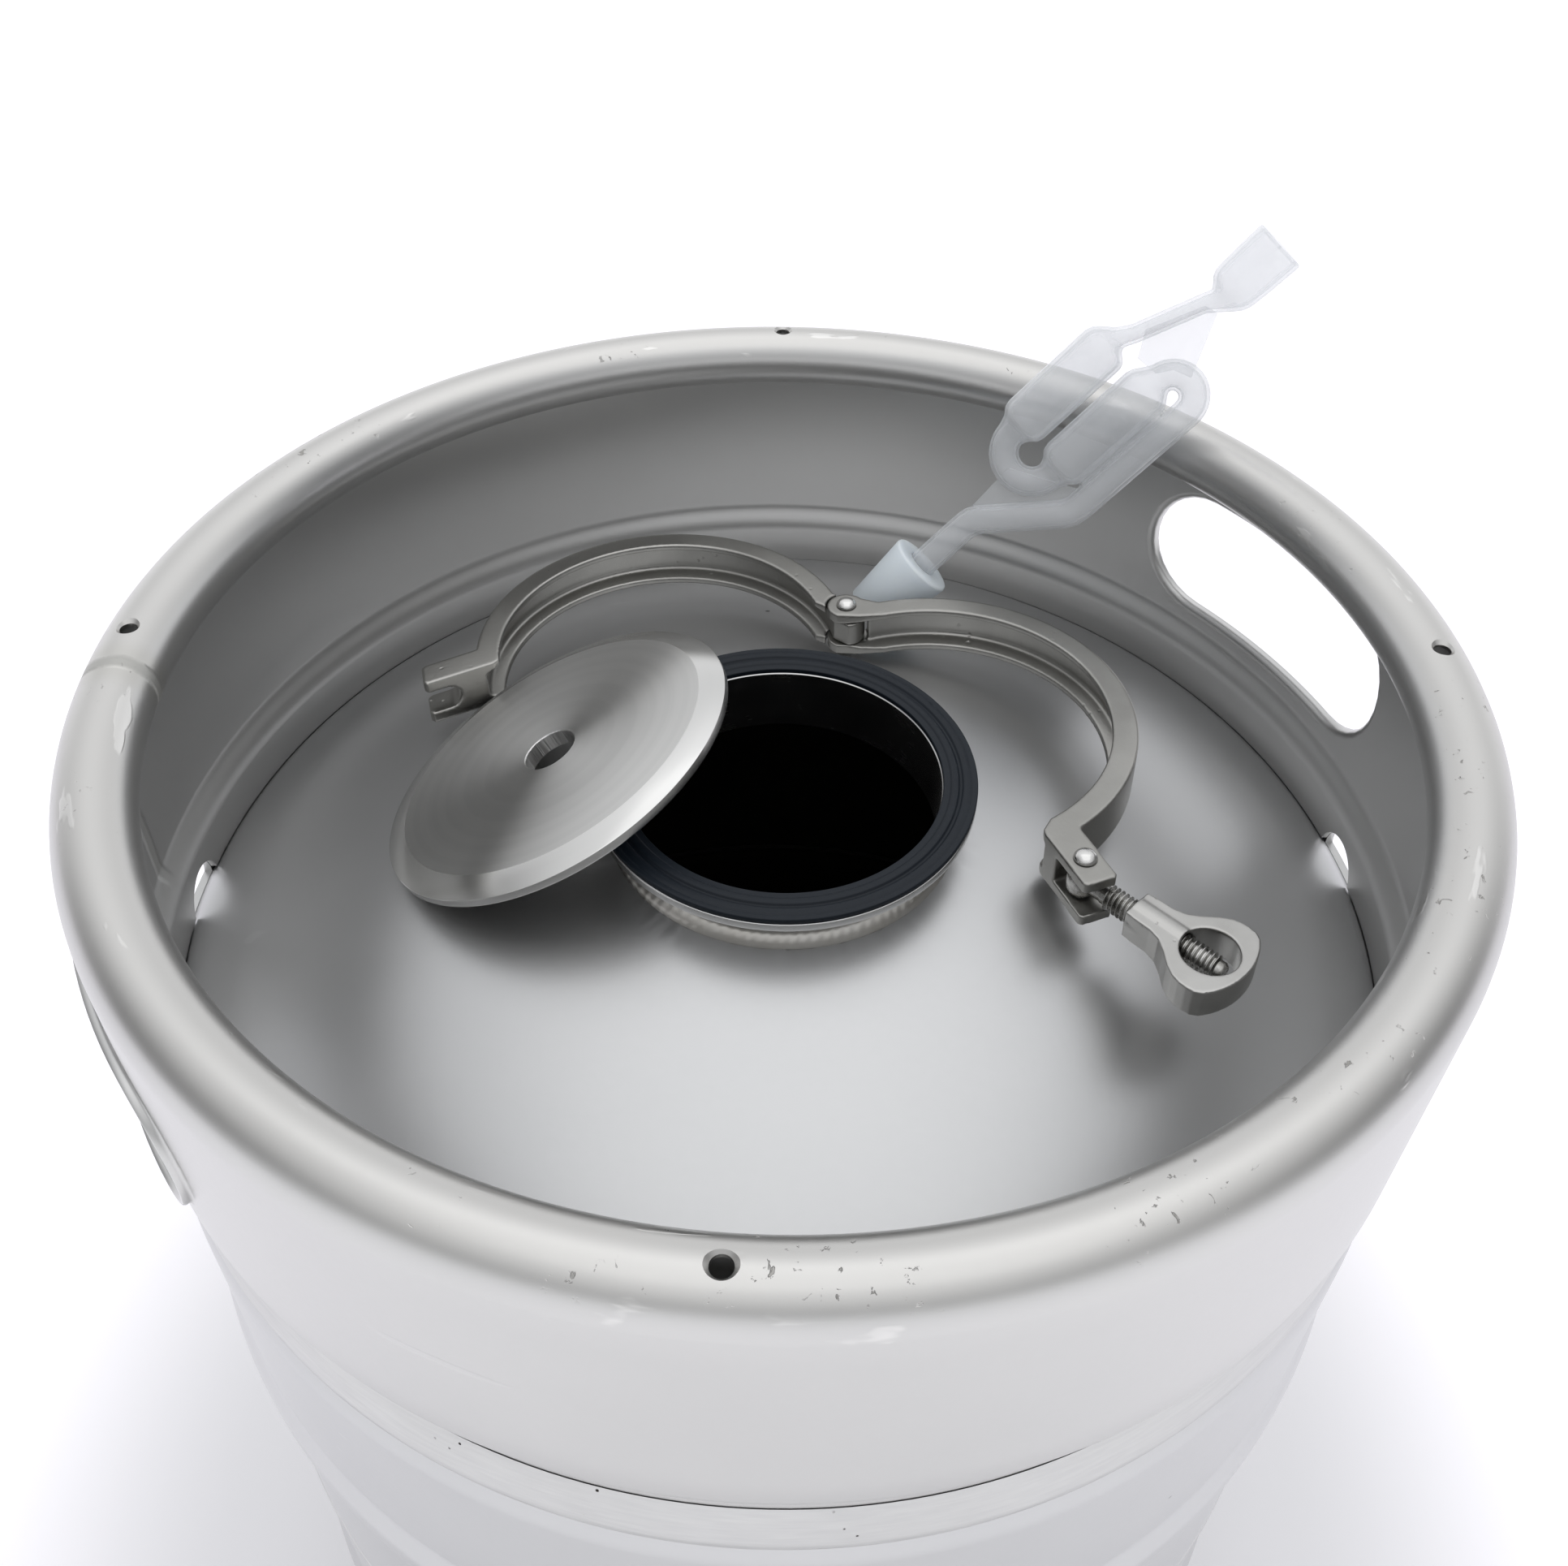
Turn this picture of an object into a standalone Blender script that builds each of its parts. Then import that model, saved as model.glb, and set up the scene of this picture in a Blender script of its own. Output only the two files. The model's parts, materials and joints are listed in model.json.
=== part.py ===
"""Half-barrel beer keg turned into an open fermenter.

A stainless keg without its valve and spear: a 4-inch sanitary ferrule is welded to the dome, and its
gasket, its end cap with a hole for a stopper, its hinged clamp and an airlock in a silicone stopper lie
round it, as they do while the keg is being filled. Units are metres, +Z is up, and the origin is the
centre of the keg's base on the floor.
"""
import math

import bmesh
import bpy
from mathutils import Matrix, Vector

MM = 0.001
GAP = 0.3                     # clearance between pieces that touch, mm
SEGMENTS = 36                 # facets round a turned piece

# ---- keg, mm ------------------------------------------------------------------------------------
HEIGHT = 592.0                # 23.3 in, a half barrel
CHIME_R = 197.5               # outside of the skirt walls and rims, 15.5 in across
SHEET = 2.0                   # chime sheet
SHELL_SHEET = 1.5             # pressure vessel sheet
CURL_R = 10.5                 # radius of the rolled rim's section
WALL_R = 197.2                # barrel wall
HOOP_R = 200.0                # crest of a rolling hoop
MID_Z = 296.0                 # girth weld
HOOP_DZ = 94.6                # hoop crest above and below the girth weld
KNUCKLE_R = 22.0              # corner between wall and dome
KNUCKLE_C = WALL_R - KNUCKLE_R
DOME_SAG = 0.001147           # dome height lost per square millimetre of radius
DOME_END_R = 183.8            # where a dome runs into its knuckle
DOME_TOP_Z = 525.3            # crown of the top dome
NECK_HOLE_R = 51.3            # hole in the crown for the ferrule
DISH_LOW_Z = 14.0             # lowest point of the bottom dish
CREASE_Z = 504.6              # where the top skirt necks in to its foot
FOOT_R = 192.6                # outside of a skirt's foot
FOOT_NECK = 8.0               # height over which the skirt necks in
FOOT_OVER_KNUCKLE = 16.1      # a skirt's foot stands on the knuckle this far from its centre
CURL_CENTRE_R = CHIME_R - CURL_R
WEEP_HOLE_R = 2.5
WEEP_AZIMUTHS = (0.6, 91.2, 180.2, 267.0)
DRAIN_R = 11.75
DRAIN_AZIMUTHS = (6.0, 181.2)
DRAIN_TOP = 9.6               # height of a drain notch over the foot's edge
HANDHOLD_AZIMUTHS = (28.0, 208.0)
HANDHOLD_Z = 537.0
HANDHOLD_LENGTH = 116.0
HANDHOLD_HEIGHT = 45.0
HANDHOLD_BEAD = 2.4           # radius of the rolled edge round a handhold

# ---- 4-inch ferrule, gasket and end cap, mm -------------------------------------------------------
FLANGE_R = 59.5
FLANGE_EDGE = 2.9             # thickness of a flange at its rim
FLANGE_TAPER = math.radians(20.0)
TUBE_R = 50.8
BORE_R = 48.7
FLANGE_TOP_Z = 537.6
FERRULE_FOOT_Z = 515.0
GASKET = 1.9
CAP_FLAT_R = 52.0
CAP_HOLE_R = 8.75
CAP_CENTRE = (-71.8, 6.9, 537.5)
CAP_NORMAL = (-0.443, 0.082, 0.893)

# ---- hinged clamp, mm: in its own plane, each half's ring centre to the hinge is the +X axis --------
CLAMP_HINGE = (21.25, 89.1, 527.0)
CLAMP_TILT = (math.radians(-1.04), math.radians(-2.29), 0.0)
HINGE_R = 66.4                # ring centre to hinge
RING_IN = 56.4
RING_OUT = 64.5
GROOVE_R = 61.4
CLAMP_HALF = 8.75             # half of the clamp's height
GROOVE_MOUTH = 6.55           # half height of the groove at its mouth
GROOVE_FLOOR = 4.7            # half height of the groove at its floor
EAR_R = 6.8
EAR_GAP = 4.9                 # half of the gap between two ears
BARREL_HALF = 4.6             # half height of the knuckle between them
HINGE_CLEAR_R = 7.4
RIVET_R = 2.2
RIVET_HEAD_R = 3.5
EARED_AZIMUTH = math.radians(114.6)
SLOTTED_AZIMUTH = math.radians(15.3)
BOLT_PIN = (-74.1, 9.1)       # rivet of the swing bolt, from the ring centre
BOLT_SWING = math.radians(-46.5)
EYE_R = 4.7
THREAD_R = 3.9
BOLT_LENGTH = 48.7
NUT_START = 18.7

# ---- stopper and airlock, mm: the stem runs along its own +Z ------------------------------------------
STOPPER_TOP = (49.25, 113.28, 537.0)
STEM_AXIS = (0.6726, 0.1179, 0.7306)
STOPPER_LENGTH = 27.0
STOPPER_R = (12.3, 9.8)
STEM_R = 5.2
AIRLOCK_FACE = (0.259, 0.867, -0.426)   # away from the flat side that faces the user


KNUCKLE_DROP = DOME_SAG * DOME_END_R ** 2 + math.sqrt(KNUCKLE_R ** 2 - (DOME_END_R - KNUCKLE_C) ** 2)
KNUCKLE_Z = DOME_TOP_Z - KNUCKLE_DROP
DISH_KNUCKLE_Z = DISH_LOW_Z + KNUCKLE_DROP


# ---- helpers --------------------------------------------------------------------------------------
def clear_scene():
    for old in list(bpy.data.objects):
        bpy.data.objects.remove(old, do_unlink=True)


def collection(name):
    made = bpy.data.collections.new(name)
    bpy.context.scene.collection.children.link(made)
    return made


def material(name, colour, roughness, metallic):
    made = bpy.data.materials.new(name)
    made.use_nodes = True
    shader = made.node_tree.nodes["Principled BSDF"]
    shader.inputs["Base Color"].default_value = (*colour, 1.0)
    shader.inputs["Roughness"].default_value = roughness
    shader.inputs["Metallic"].default_value = metallic
    return made


def arc(cx, cy, radius, start, end, steps):
    """Points on a circle from one angle to another, in degrees."""
    turn = [math.radians(start + (end - start) * i / steps) for i in range(steps + 1)]
    return [(cx + radius * math.cos(a), cy + radius * math.sin(a)) for a in turn]


def mesh_object(name, bm, mat, group=None):
    """Finish a bmesh drawn in millimetres as a smooth-shaded object."""
    bmesh.ops.scale(bm, vec=(MM, MM, MM), verts=bm.verts)
    mesh = bpy.data.meshes.new(name)
    bm.to_mesh(mesh)
    bm.free()
    mesh.shade_smooth()
    mesh.set_sharp_from_angle(angle=math.radians(30.0))
    if mat:
        mesh.materials.append(mat)
    obj = bpy.data.objects.new(name, mesh)
    (group or PARTS).objects.link(obj)
    return obj


def lathe(name, profile, mat, closed=True, sheet=0.0, segments=SEGMENTS, group=None):
    """Turn a profile of (radius, z) round Z; an open one gets its sheet thickness inward."""
    bm = bmesh.new()
    points = [bm.verts.new((r, 0.0, z)) for r, z in profile]
    for a, b in zip(points, points[1:]):
        bm.edges.new((a, b))
    if closed:
        bm.edges.new((points[-1], points[0]))
    obj = mesh_object(name, bm, mat, group)
    screw = obj.modifiers.new("turn", "SCREW")
    screw.axis = "Z"
    screw.steps = segments
    screw.render_steps = segments
    screw.use_merge_vertices = True
    screw.merge_threshold = 0.00001
    if sheet:
        wall = obj.modifiers.new("sheet", "SOLIDIFY")
        wall.thickness = sheet * MM
        wall.offset = -1.0
        wall.use_even_offset = True
    return obj


def prism(name, outline, low, high, mat=None, group=None):
    """Extrude a flat outline of (x, y) from one height to another."""
    bm = bmesh.new()
    face = bm.faces.new([bm.verts.new((x, y, low)) for x, y in outline])
    grown = bmesh.ops.extrude_face_region(bm, geom=[face])
    rise = [v for v in grown["geom"] if isinstance(v, bmesh.types.BMVert)]
    bmesh.ops.translate(bm, vec=(0.0, 0.0, high - low), verts=rise)
    bmesh.ops.recalc_face_normals(bm, faces=bm.faces)
    return mesh_object(name, bm, mat, group)


def cylinder(name, radius, low, high, segments=24, mat=None, group=None):
    """A round bar along Z."""
    bm = bmesh.new()
    bmesh.ops.create_cone(bm, cap_ends=True, segments=segments, radius1=radius, radius2=radius,
                          depth=high - low)
    bmesh.ops.translate(bm, vec=(0.0, 0.0, (high + low) / 2), verts=bm.verts)
    return mesh_object(name, bm, mat, group)


def guide(obj):
    """A cutter is not part of the keg."""
    obj.hide_render = True
    obj.display_type = "WIRE"
    return obj


def cut(obj, cutter, operation="DIFFERENCE"):
    tool = obj.modifiers.new(cutter.name, "BOOLEAN")
    tool.object = guide(cutter)
    tool.operation = operation
    tool.solver = "EXACT"


def place(obj, location, rotation=(0.0, 0.0, 0.0), parent=None):
    obj.location = Vector(location) * MM
    obj.rotation_euler = rotation
    obj.parent = parent
    return obj


def frame_matrix(origin, x_axis, z_axis):
    """A right-handed frame from its Z axis and a rough X axis."""
    z = Vector(z_axis).normalized()
    y = z.cross(Vector(x_axis)).normalized()
    x = y.cross(z)
    turn = Matrix((x, y, z)).transposed().to_4x4()
    return Matrix.Translation(Vector(origin) * MM) @ turn


# ---- keg ------------------------------------------------------------------------------------------
def dome_z(radius):
    return DOME_TOP_Z - DOME_SAG * radius * radius


def hoop(z, side):
    """A rolling hoop: a slow rise on the girth weld's side, a crest band and a quick undercut."""
    rise = (24.0, 12.0, 1.5)
    bulge = (0.0, 1.1, HOOP_R - WALL_R)
    far = [(WALL_R + b, z + side * 1.0 - side * r) for r, b in zip(rise, bulge)]
    near = [(HOOP_R, z + side * 1.5), (WALL_R + 0.9, z + side * 6.0), (WALL_R, z + side * 12.0)]
    return far + near


def vessel_half(name, top, mat):
    """One half of the pressure vessel: dished end, knuckle, wall and rolling hoop."""
    crown = (NECK_HOLE_R, 90.0, 128.0, 158.0)
    dish = (0.0, 60.0, 100.0, 140.0, 165.0)
    radii = (crown if top else dish) + (DOME_END_R,)
    end_z = DOME_TOP_Z if top else -DISH_LOW_Z
    ridge = [(r, end_z - DOME_SAG * r * r) for r in radii]
    knuckle = arc(KNUCKLE_C, end_z - KNUCKLE_DROP, KNUCKLE_R, 50.0, 0.0, 4)
    side = 1.0 if top else -1.0
    rolled = [(r, side * z) for r, z in hoop(MID_Z + side * HOOP_DZ, side)]
    mid = [(WALL_R, side * MID_Z + 1.5)]
    outline = ridge + knuckle + rolled[::-1] + mid
    if top:
        return lathe(name, outline, mat, closed=False, sheet=SHELL_SHEET)
    outline = [(r, -z) for r, z in outline][::-1]
    return lathe(name, outline, mat, closed=False, sheet=SHELL_SHEET)


def chime_profile(rim_z, foot_z, crease_z, flat_rim):
    """A skirt in section, from the inner end of its rolled rim to its foot."""
    up = 1.0 if rim_z > foot_z else -1.0
    centre_z = rim_z - up * CURL_R
    centre_r = CURL_CENTRE_R
    curl = arc(centre_r, 0.0, CURL_R, 288.0, 0.0, 9)
    if flat_rim:
        step = 30.0
        curl = arc(centre_r, 0.0, CURL_R / math.cos(math.radians(step / 2)), 285.0, 15.0, 9)
    curl = [(min(r, CHIME_R), centre_z + up * z) for r, z in curl]
    foot = [(CHIME_R, crease_z), (FOOT_R + 1.2, crease_z - up * 4.0), (FOOT_R, crease_z - up * FOOT_NECK),
            (FOOT_R, foot_z)]
    return curl + foot


def handhold_outline(azimuth, radius, grow=0.0, steps=8):
    """The slot's edge laid on a cylinder, as 3-D points."""
    half_h = HANDHOLD_HEIGHT / 2 + grow
    reach = HANDHOLD_LENGTH / 2 - HANDHOLD_HEIGHT / 2
    flat = arc(reach, 0.0, half_h, -90.0, 90.0, steps) + arc(-reach, 0.0, half_h, 90.0, 270.0, steps)
    points = []
    for along, up in flat:
        turn = math.radians(azimuth) + along / CHIME_R
        points.append(Vector((radius * math.cos(turn), radius * math.sin(turn), HANDHOLD_Z + up)))
    return points


def handhold_cutter(azimuth):
    """A curved plug through the skirt, from inside to outside."""
    bm = bmesh.new()
    inner = [bm.verts.new(p) for p in handhold_outline(azimuth, CHIME_R - 8.0)]
    outer = [bm.verts.new(p) for p in handhold_outline(azimuth, CHIME_R + 8.0)]
    count = len(inner)
    for i in range(count):
        j = (i + 1) % count
        bm.faces.new((inner[i], inner[j], outer[j], outer[i]))
    bm.faces.new(inner[::-1])
    bm.faces.new(outer)
    bmesh.ops.triangulate(bm, faces=[f for f in bm.faces if len(f.verts) > 4])
    bmesh.ops.recalc_face_normals(bm, faces=bm.faces)
    return mesh_object(f"handhold_cutter_{azimuth:.0f}", bm, None, CUTTERS)


def handhold_bead(azimuth):
    """The rolled edge round a handhold, swept as a closed ring of round section."""
    ring = handhold_outline(azimuth, CHIME_R + 0.8, grow=0.6)
    sides = 6
    bm = bmesh.new()
    loops = []
    for i, point in enumerate(ring):
        along = (ring[(i + 1) % len(ring)] - ring[i - 1]).normalized()
        out = Vector((point.x, point.y, 0.0)).normalized()
        across = along.cross(out).normalized()
        loop = []
        for k in range(sides):
            turn = 2 * math.pi * (k + 0.5) / sides
            offset = out * math.cos(turn) + across * math.sin(turn)
            loop.append(bm.verts.new(point + offset * HANDHOLD_BEAD))
        loops.append(loop)
    for i, loop in enumerate(loops):
        following = loops[(i + 1) % len(loops)]
        for k in range(sides):
            n = (k + 1) % sides
            bm.faces.new((loop[k], loop[n], following[n], following[k]))
    bmesh.ops.recalc_face_normals(bm, faces=bm.faces)
    return mesh_object(f"handhold_bead_{azimuth:.0f}", bm, None, CUTTERS)


def drain_cutter(name, azimuth, z):
    """A half-round notch through the skirt's foot; its flat side leaves the root of the weld whole."""
    turn = math.radians(azimuth)
    outline = arc(0.0, 0.0, DRAIN_R, 0.0, 180.0, 10) + [(-DRAIN_R, -0.7), (DRAIN_R, -0.7)]
    notch = prism(name, outline, 185.0, 205.0, group=CUTTERS)
    notch.matrix_world = frame_matrix((0.0, 0.0, z), (-math.sin(turn), math.cos(turn), 0.0),
                                      (math.cos(turn), math.sin(turn), 0.0))
    return notch


def weld_ring(name, foot_z, up, mat):
    """The ground weld that fills the groove between a skirt's foot and the knuckle."""
    corner_z = KNUCKLE_Z if up > 0 else DISH_KNUCKLE_Z
    touch = arc(KNUCKLE_C, 0.0, KNUCKLE_R + GAP + 0.1, 25.0, 37.0, 3)
    section = [(FOOT_R + GAP, foot_z + up * 8.0), (195.9, corner_z + up * 10.0)]
    section += [(r, corner_z + up * z) for r, z in touch]
    if up < 0:
        section = section[::-1]
    return lathe(name, section, mat)


def build_keg():
    vessel_half("upper_shell", True, STEEL)
    vessel_half("lower_shell", False, STEEL)
    lathe("girth_weld", [(WALL_R + 0.2, MID_Z + 1.2), (WALL_R + 0.5, MID_Z), (WALL_R + 0.2, MID_Z - 1.2),
                         (WALL_R - SHELL_SHEET, MID_Z - 1.2), (WALL_R - SHELL_SHEET, MID_Z + 1.2)], WELD)
    top_foot = KNUCKLE_Z + FOOT_OVER_KNUCKLE
    top = lathe("top_chime", chime_profile(HEIGHT, top_foot, CREASE_Z, False), CHIME, closed=False,
                sheet=SHEET)
    low_foot = DISH_KNUCKLE_Z - FOOT_OVER_KNUCKLE
    low_crease = low_foot - (CREASE_Z - top_foot) + 4.0
    outline = chime_profile(0.0, low_foot, low_crease, True)[::-1]
    lathe("bottom_chime", outline, CHIME, closed=False, sheet=SHEET)
    top_weld = weld_ring("top_chime_weld", top_foot, 1.0, WELD)
    weld_ring("bottom_chime_weld", low_foot, -1.0, WELD)
    for azimuth in HANDHOLD_AZIMUTHS:
        cut(top, handhold_bead(azimuth), "UNION")
        cut(top, handhold_cutter(azimuth))
    for index, azimuth in enumerate(WEEP_AZIMUTHS):
        turn = math.radians(azimuth)
        drill = cylinder(f"weep_cutter_{index}", WEEP_HOLE_R, HEIGHT - 6.0, HEIGHT + 4.0, 10, group=CUTTERS)
        cut(top, place(drill, (CURL_CENTRE_R * math.cos(turn), CURL_CENTRE_R * math.sin(turn), 0.0)))
    for index, azimuth in enumerate(DRAIN_AZIMUTHS):
        z = top_foot + DRAIN_TOP - DRAIN_R
        notch = drain_cutter(f"drain_cutter_{index}", azimuth, z)
        cut(top, notch)
        cut(top_weld, notch)


# ---- ferrule, gasket and end cap ----------------------------------------------------------------------
def build_ferrule():
    edge_z = FLANGE_TOP_Z - FLANGE_EDGE
    root_r = TUBE_R + 0.9
    root_z = edge_z - (FLANGE_R - root_r) * math.tan(FLANGE_TAPER)
    seat = [(BORE_R, FLANGE_TOP_Z), (53.4, FLANGE_TOP_Z), (54.0, FLANGE_TOP_Z - 0.8),
            (54.8, FLANGE_TOP_Z - 0.8), (55.4, FLANGE_TOP_Z)]
    rim = [(FLANGE_R - 0.4, FLANGE_TOP_Z), (FLANGE_R, FLANGE_TOP_Z - 0.4), (FLANGE_R, edge_z)]
    tube = [(root_r, root_z), (TUBE_R, root_z - 1.6), (TUBE_R, FERRULE_FOOT_Z), (BORE_R, FERRULE_FOOT_Z)]
    lathe("ferrule", seat + rim + tube, FERRULE)
    shoulder_z = dome_z(53.5)
    bead = [(TUBE_R + GAP, shoulder_z + 4.2), (TUBE_R + 2.0, shoulder_z + 3.4), (TUBE_R + 3.6, shoulder_z + 1.6),
            (TUBE_R + 4.4, dome_z(TUBE_R + 4.4) + GAP), (TUBE_R + GAP, dome_z(TUBE_R) + GAP)]
    lathe("ferrule_weld", bead, WELD)


def build_gasket():
    low = FLANGE_TOP_Z + GAP
    top = low + GASKET
    bands = [(BORE_R + 0.3, top - 0.5), (51.0, top - 0.5), (51.4, top), (53.4, top), (53.8, top - 0.7),
             (54.8, top - 0.7), (55.2, top), (FLANGE_R - 0.3, top), (FLANGE_R, top - 0.3)]
    lathe("gasket", bands + [(FLANGE_R, low), (BORE_R + 0.3, low)], RUBBER)


def build_cap():
    rise = (FLANGE_R - CAP_FLAT_R) * math.tan(FLANGE_TAPER)
    profile = [(CAP_HOLE_R, rise), (CAP_FLAT_R, rise), (FLANGE_R, 0.0), (FLANGE_R, -FLANGE_EDGE + 0.4),
               (FLANGE_R - 0.4, -FLANGE_EDGE), (CAP_HOLE_R, -FLANGE_EDGE)]
    cap = lathe("end_cap", profile, CAP)
    cap.matrix_world = frame_matrix(CAP_CENTRE, (1.0, 0.0, 0.0), CAP_NORMAL)


# ---- clamp ----------------------------------------------------------------------------------------------
def shifted(points, mirrored):
    """Move an outline from its ring centre to the hinge, and turn it over for the second half."""
    side = -1.0 if mirrored else 1.0
    moved = [(x - HINGE_R, side * y) for x, y in points]
    return moved[::-1] if mirrored else moved


def groove_cutter(name, mirrored):
    """The tapered groove that pulls two flanges together, as a swept trapezium."""
    taper = (GROOVE_MOUTH - GROOVE_FLOOR) / (GROOVE_R - RING_IN)
    wide = GROOVE_MOUTH + 8.0 * taper
    section = [(RING_IN - 8.0, wide), (GROOVE_R, GROOVE_FLOOR), (GROOVE_R, -GROOVE_FLOOR), (RING_IN - 8.0, -wide)]
    bm = bmesh.new()
    verts = [bm.verts.new((r, 0.0, z)) for r, z in section]
    edges = [bm.edges.new((a, b)) for a, b in zip(verts, verts[1:] + verts[:1])]
    start = math.radians(-30.0)
    bmesh.ops.rotate(bm, verts=verts, matrix=Matrix.Rotation(start, 3, "Z"))
    bmesh.ops.spin(bm, geom=verts + edges, axis=(0.0, 0.0, 1.0), cent=(0.0, 0.0, 0.0),
                   angle=math.radians(240.0), steps=40)
    bmesh.ops.holes_fill(bm, edges=bm.edges, sides=0)
    if mirrored:
        bmesh.ops.scale(bm, vec=(1.0, -1.0, 1.0), verts=bm.verts)
    bmesh.ops.translate(bm, vec=(-HINGE_R, 0.0, 0.0), verts=bm.verts)
    bmesh.ops.recalc_face_normals(bm, faces=bm.faces)
    return mesh_object(name, bm, None, CUTTERS)


def eared_half(frame):
    """The half whose ears hold the hinge rivet and the swing bolt."""
    ear = arc(HINGE_R, 0.0, EAR_R, -125.0, 75.0, 12)
    back = arc(0.0, 0.0, RING_OUT, 10.0, 166.8, 28)
    lug = [(-83.1, 13.9), (-84.0, 13.0), (-83.4, 4.2), (-82.4, 3.2), (-60.5, 3.8), (-58.7, 4.6)]
    inside = arc(0.0, 0.0, RING_IN, 171.0, 10.0, 28)
    outline = shifted(ear + back + lug + inside + [(58.6, 1.5)], True)
    half = prism("clamp_eared_half", outline, -CLAMP_HALF, CLAMP_HALF, CLAMP)
    cut(half, groove_cutter("eared_groove_cutter", True))
    slot = [(-67.5, -20.0), (-67.5, 30.0), (-95.0, 30.0), (-95.0, -20.0)]
    lug_slot = prism("lug_slot_cutter", shifted(slot, True), -EAR_GAP, EAR_GAP, group=CUTTERS)
    cut(half, lug_slot)
    knuckle_space = cylinder("knuckle_cutter", HINGE_CLEAR_R + 0.6, -EAR_GAP, EAR_GAP, group=CUTTERS)
    cut(half, knuckle_space)
    for name, x, y in (("hinge_hole_cutter", 0.0, 0.0), ("bolt_hole_cutter", *shifted([BOLT_PIN], True)[0])):
        hole = cylinder(name, RIVET_R + GAP, -CLAMP_HALF - 2.0, CLAMP_HALF + 2.0, 12, group=CUTTERS)
        hole.location = Vector((x, y, 0.0)) * MM
        hole.parent = half
        cut(half, hole)
    for tool in ("eared_groove_cutter", "lug_slot_cutter", "knuckle_cutter"):
        bpy.data.objects[tool].parent = half
    return place(half, (0.0, 0.0, 0.0), (0.0, 0.0, EARED_AZIMUTH), frame)


def slotted_half(frame):
    """The half with the knuckle at the hinge and the fork that takes the swing bolt."""
    knuckle = arc(HINGE_R, 0.0, EAR_R - 0.2, -100.0, 60.0, 10)
    back = arc(0.0, 0.0, RING_OUT, 7.0, 169.6, 28)
    fork = [(-81.2, 7.4), (-82.6, 6.0), (-82.4, -1.6), (-81.2, -3.0), (-58.2, 2.0)]
    inside = arc(0.0, 0.0, RING_IN, 176.5, 5.0, 28)
    outline = shifted(knuckle + back + fork + inside + [(60.0, 0.5)], False)
    half = prism("clamp_slotted_half", outline, -CLAMP_HALF, CLAMP_HALF, CLAMP)
    cut(half, groove_cutter("slotted_groove_cutter", False))
    slot = [(-71.0, -30.0), (-71.0, 30.0), (-95.0, 30.0), (-95.0, -30.0)]
    fork_slot = prism("fork_slot_cutter", shifted(slot, False), -4.4, 4.4, group=CUTTERS)
    cut(half, fork_slot)
    tools = [bpy.data.objects["slotted_groove_cutter"], fork_slot]
    for name, low, high in (("upper_ear_space", BARREL_HALF, 12.0), ("lower_ear_space", -12.0, -BARREL_HALF)):
        space = cylinder(name, HINGE_CLEAR_R, low, high, group=CUTTERS)
        cut(half, space)
        tools.append(space)
    hole = cylinder("knuckle_hole_cutter", RIVET_R + GAP, -12.0, 12.0, 12, group=CUTTERS)
    cut(half, hole)
    for tool in tools + [hole]:
        tool.parent = half
    return place(half, (0.0, 0.0, 0.0), (0.0, 0.0, SLOTTED_AZIMUTH), frame)


def rivet(name, location, parent):
    """A headed pin: a domed head on top, and a flat one set below."""
    seat = CLAMP_HALF + GAP
    dome = [(0.0, seat + 2.1), (1.9, seat + 1.8), (3.1, seat + 1.0), (RIVET_HEAD_R, seat)]
    flat = [(RIVET_HEAD_R, -seat), (3.1, -seat - 0.9), (0.0, -seat - 1.2)]
    profile = dome + [(RIVET_R, seat), (RIVET_R, -seat)] + flat
    pin = lathe(name, profile, RIVET, closed=False, segments=12)
    return place(pin, location, parent=parent)


def swing_bolt(frame_half, pin):
    """An eye bolt: a round eye on the rivet, a neck and a threaded bar along +X."""
    eye_hole = RIVET_R + GAP
    eye = [(EYE_R - 0.9, 4.0), (EYE_R, 2.6), (EYE_R, -2.6), (EYE_R - 0.9, -4.0), (eye_hole, -4.0), (eye_hole, 4.0)]
    bolt = lathe("swing_bolt", eye[-1:] + eye[:-1], BOLT, segments=16)
    bar = lathe("bolt_bar", [(0.0, BOLT_LENGTH), (THREAD_R - 0.7, BOLT_LENGTH), (THREAD_R, BOLT_LENGTH - 1.0),
                             (THREAD_R, 8.6), (2.9, 7.8), (2.9, 3.6), (0.0, 3.6)], BOLT, closed=False,
                segments=16, group=CUTTERS)
    bar.rotation_euler = (0.0, math.pi / 2, 0.0)
    bar.parent = bolt
    cut(bolt, bar, "UNION")
    turn = BOLT_SWING - EARED_AZIMUTH
    return place(bolt, (*pin, 0.0), (0.0, 0.0, turn), frame_half)


def wing_nut(bolt):
    """A barrel that flares into a fan-shaped wing with a round window; the bore runs along +X."""
    side = [(NUT_START, 5.2), (27.5, 5.6), (31.0, 6.6), (34.5, 9.0), (38.0, 12.3), (41.0, 14.2), (43.5, 15.0),
            (48.5, 14.8), (50.6, 13.4)]
    end = arc(31.5, 0.0, 23.4, 28.0, -28.0, 8)
    outline = [(x, -y) for x, y in side] + end[::-1] + side[::-1]
    nut = prism("wing_nut", outline, -5.0, 5.0, NUT)
    window = cylinder("window_cutter", 8.3, -8.0, 8.0, group=CUTTERS)
    window.location = Vector((43.4, 0.0, 0.0)) * MM
    bore = cylinder("nut_bore_cutter", THREAD_R + GAP, NUT_START - 5.0, 44.0, 16, group=CUTTERS)
    bore.rotation_euler = (0.0, math.pi / 2, 0.0)
    for tool in (window, bore):
        tool.parent = nut
        cut(nut, tool)
    return place(nut, (0.0, 0.0, 0.0), parent=bolt)


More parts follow.
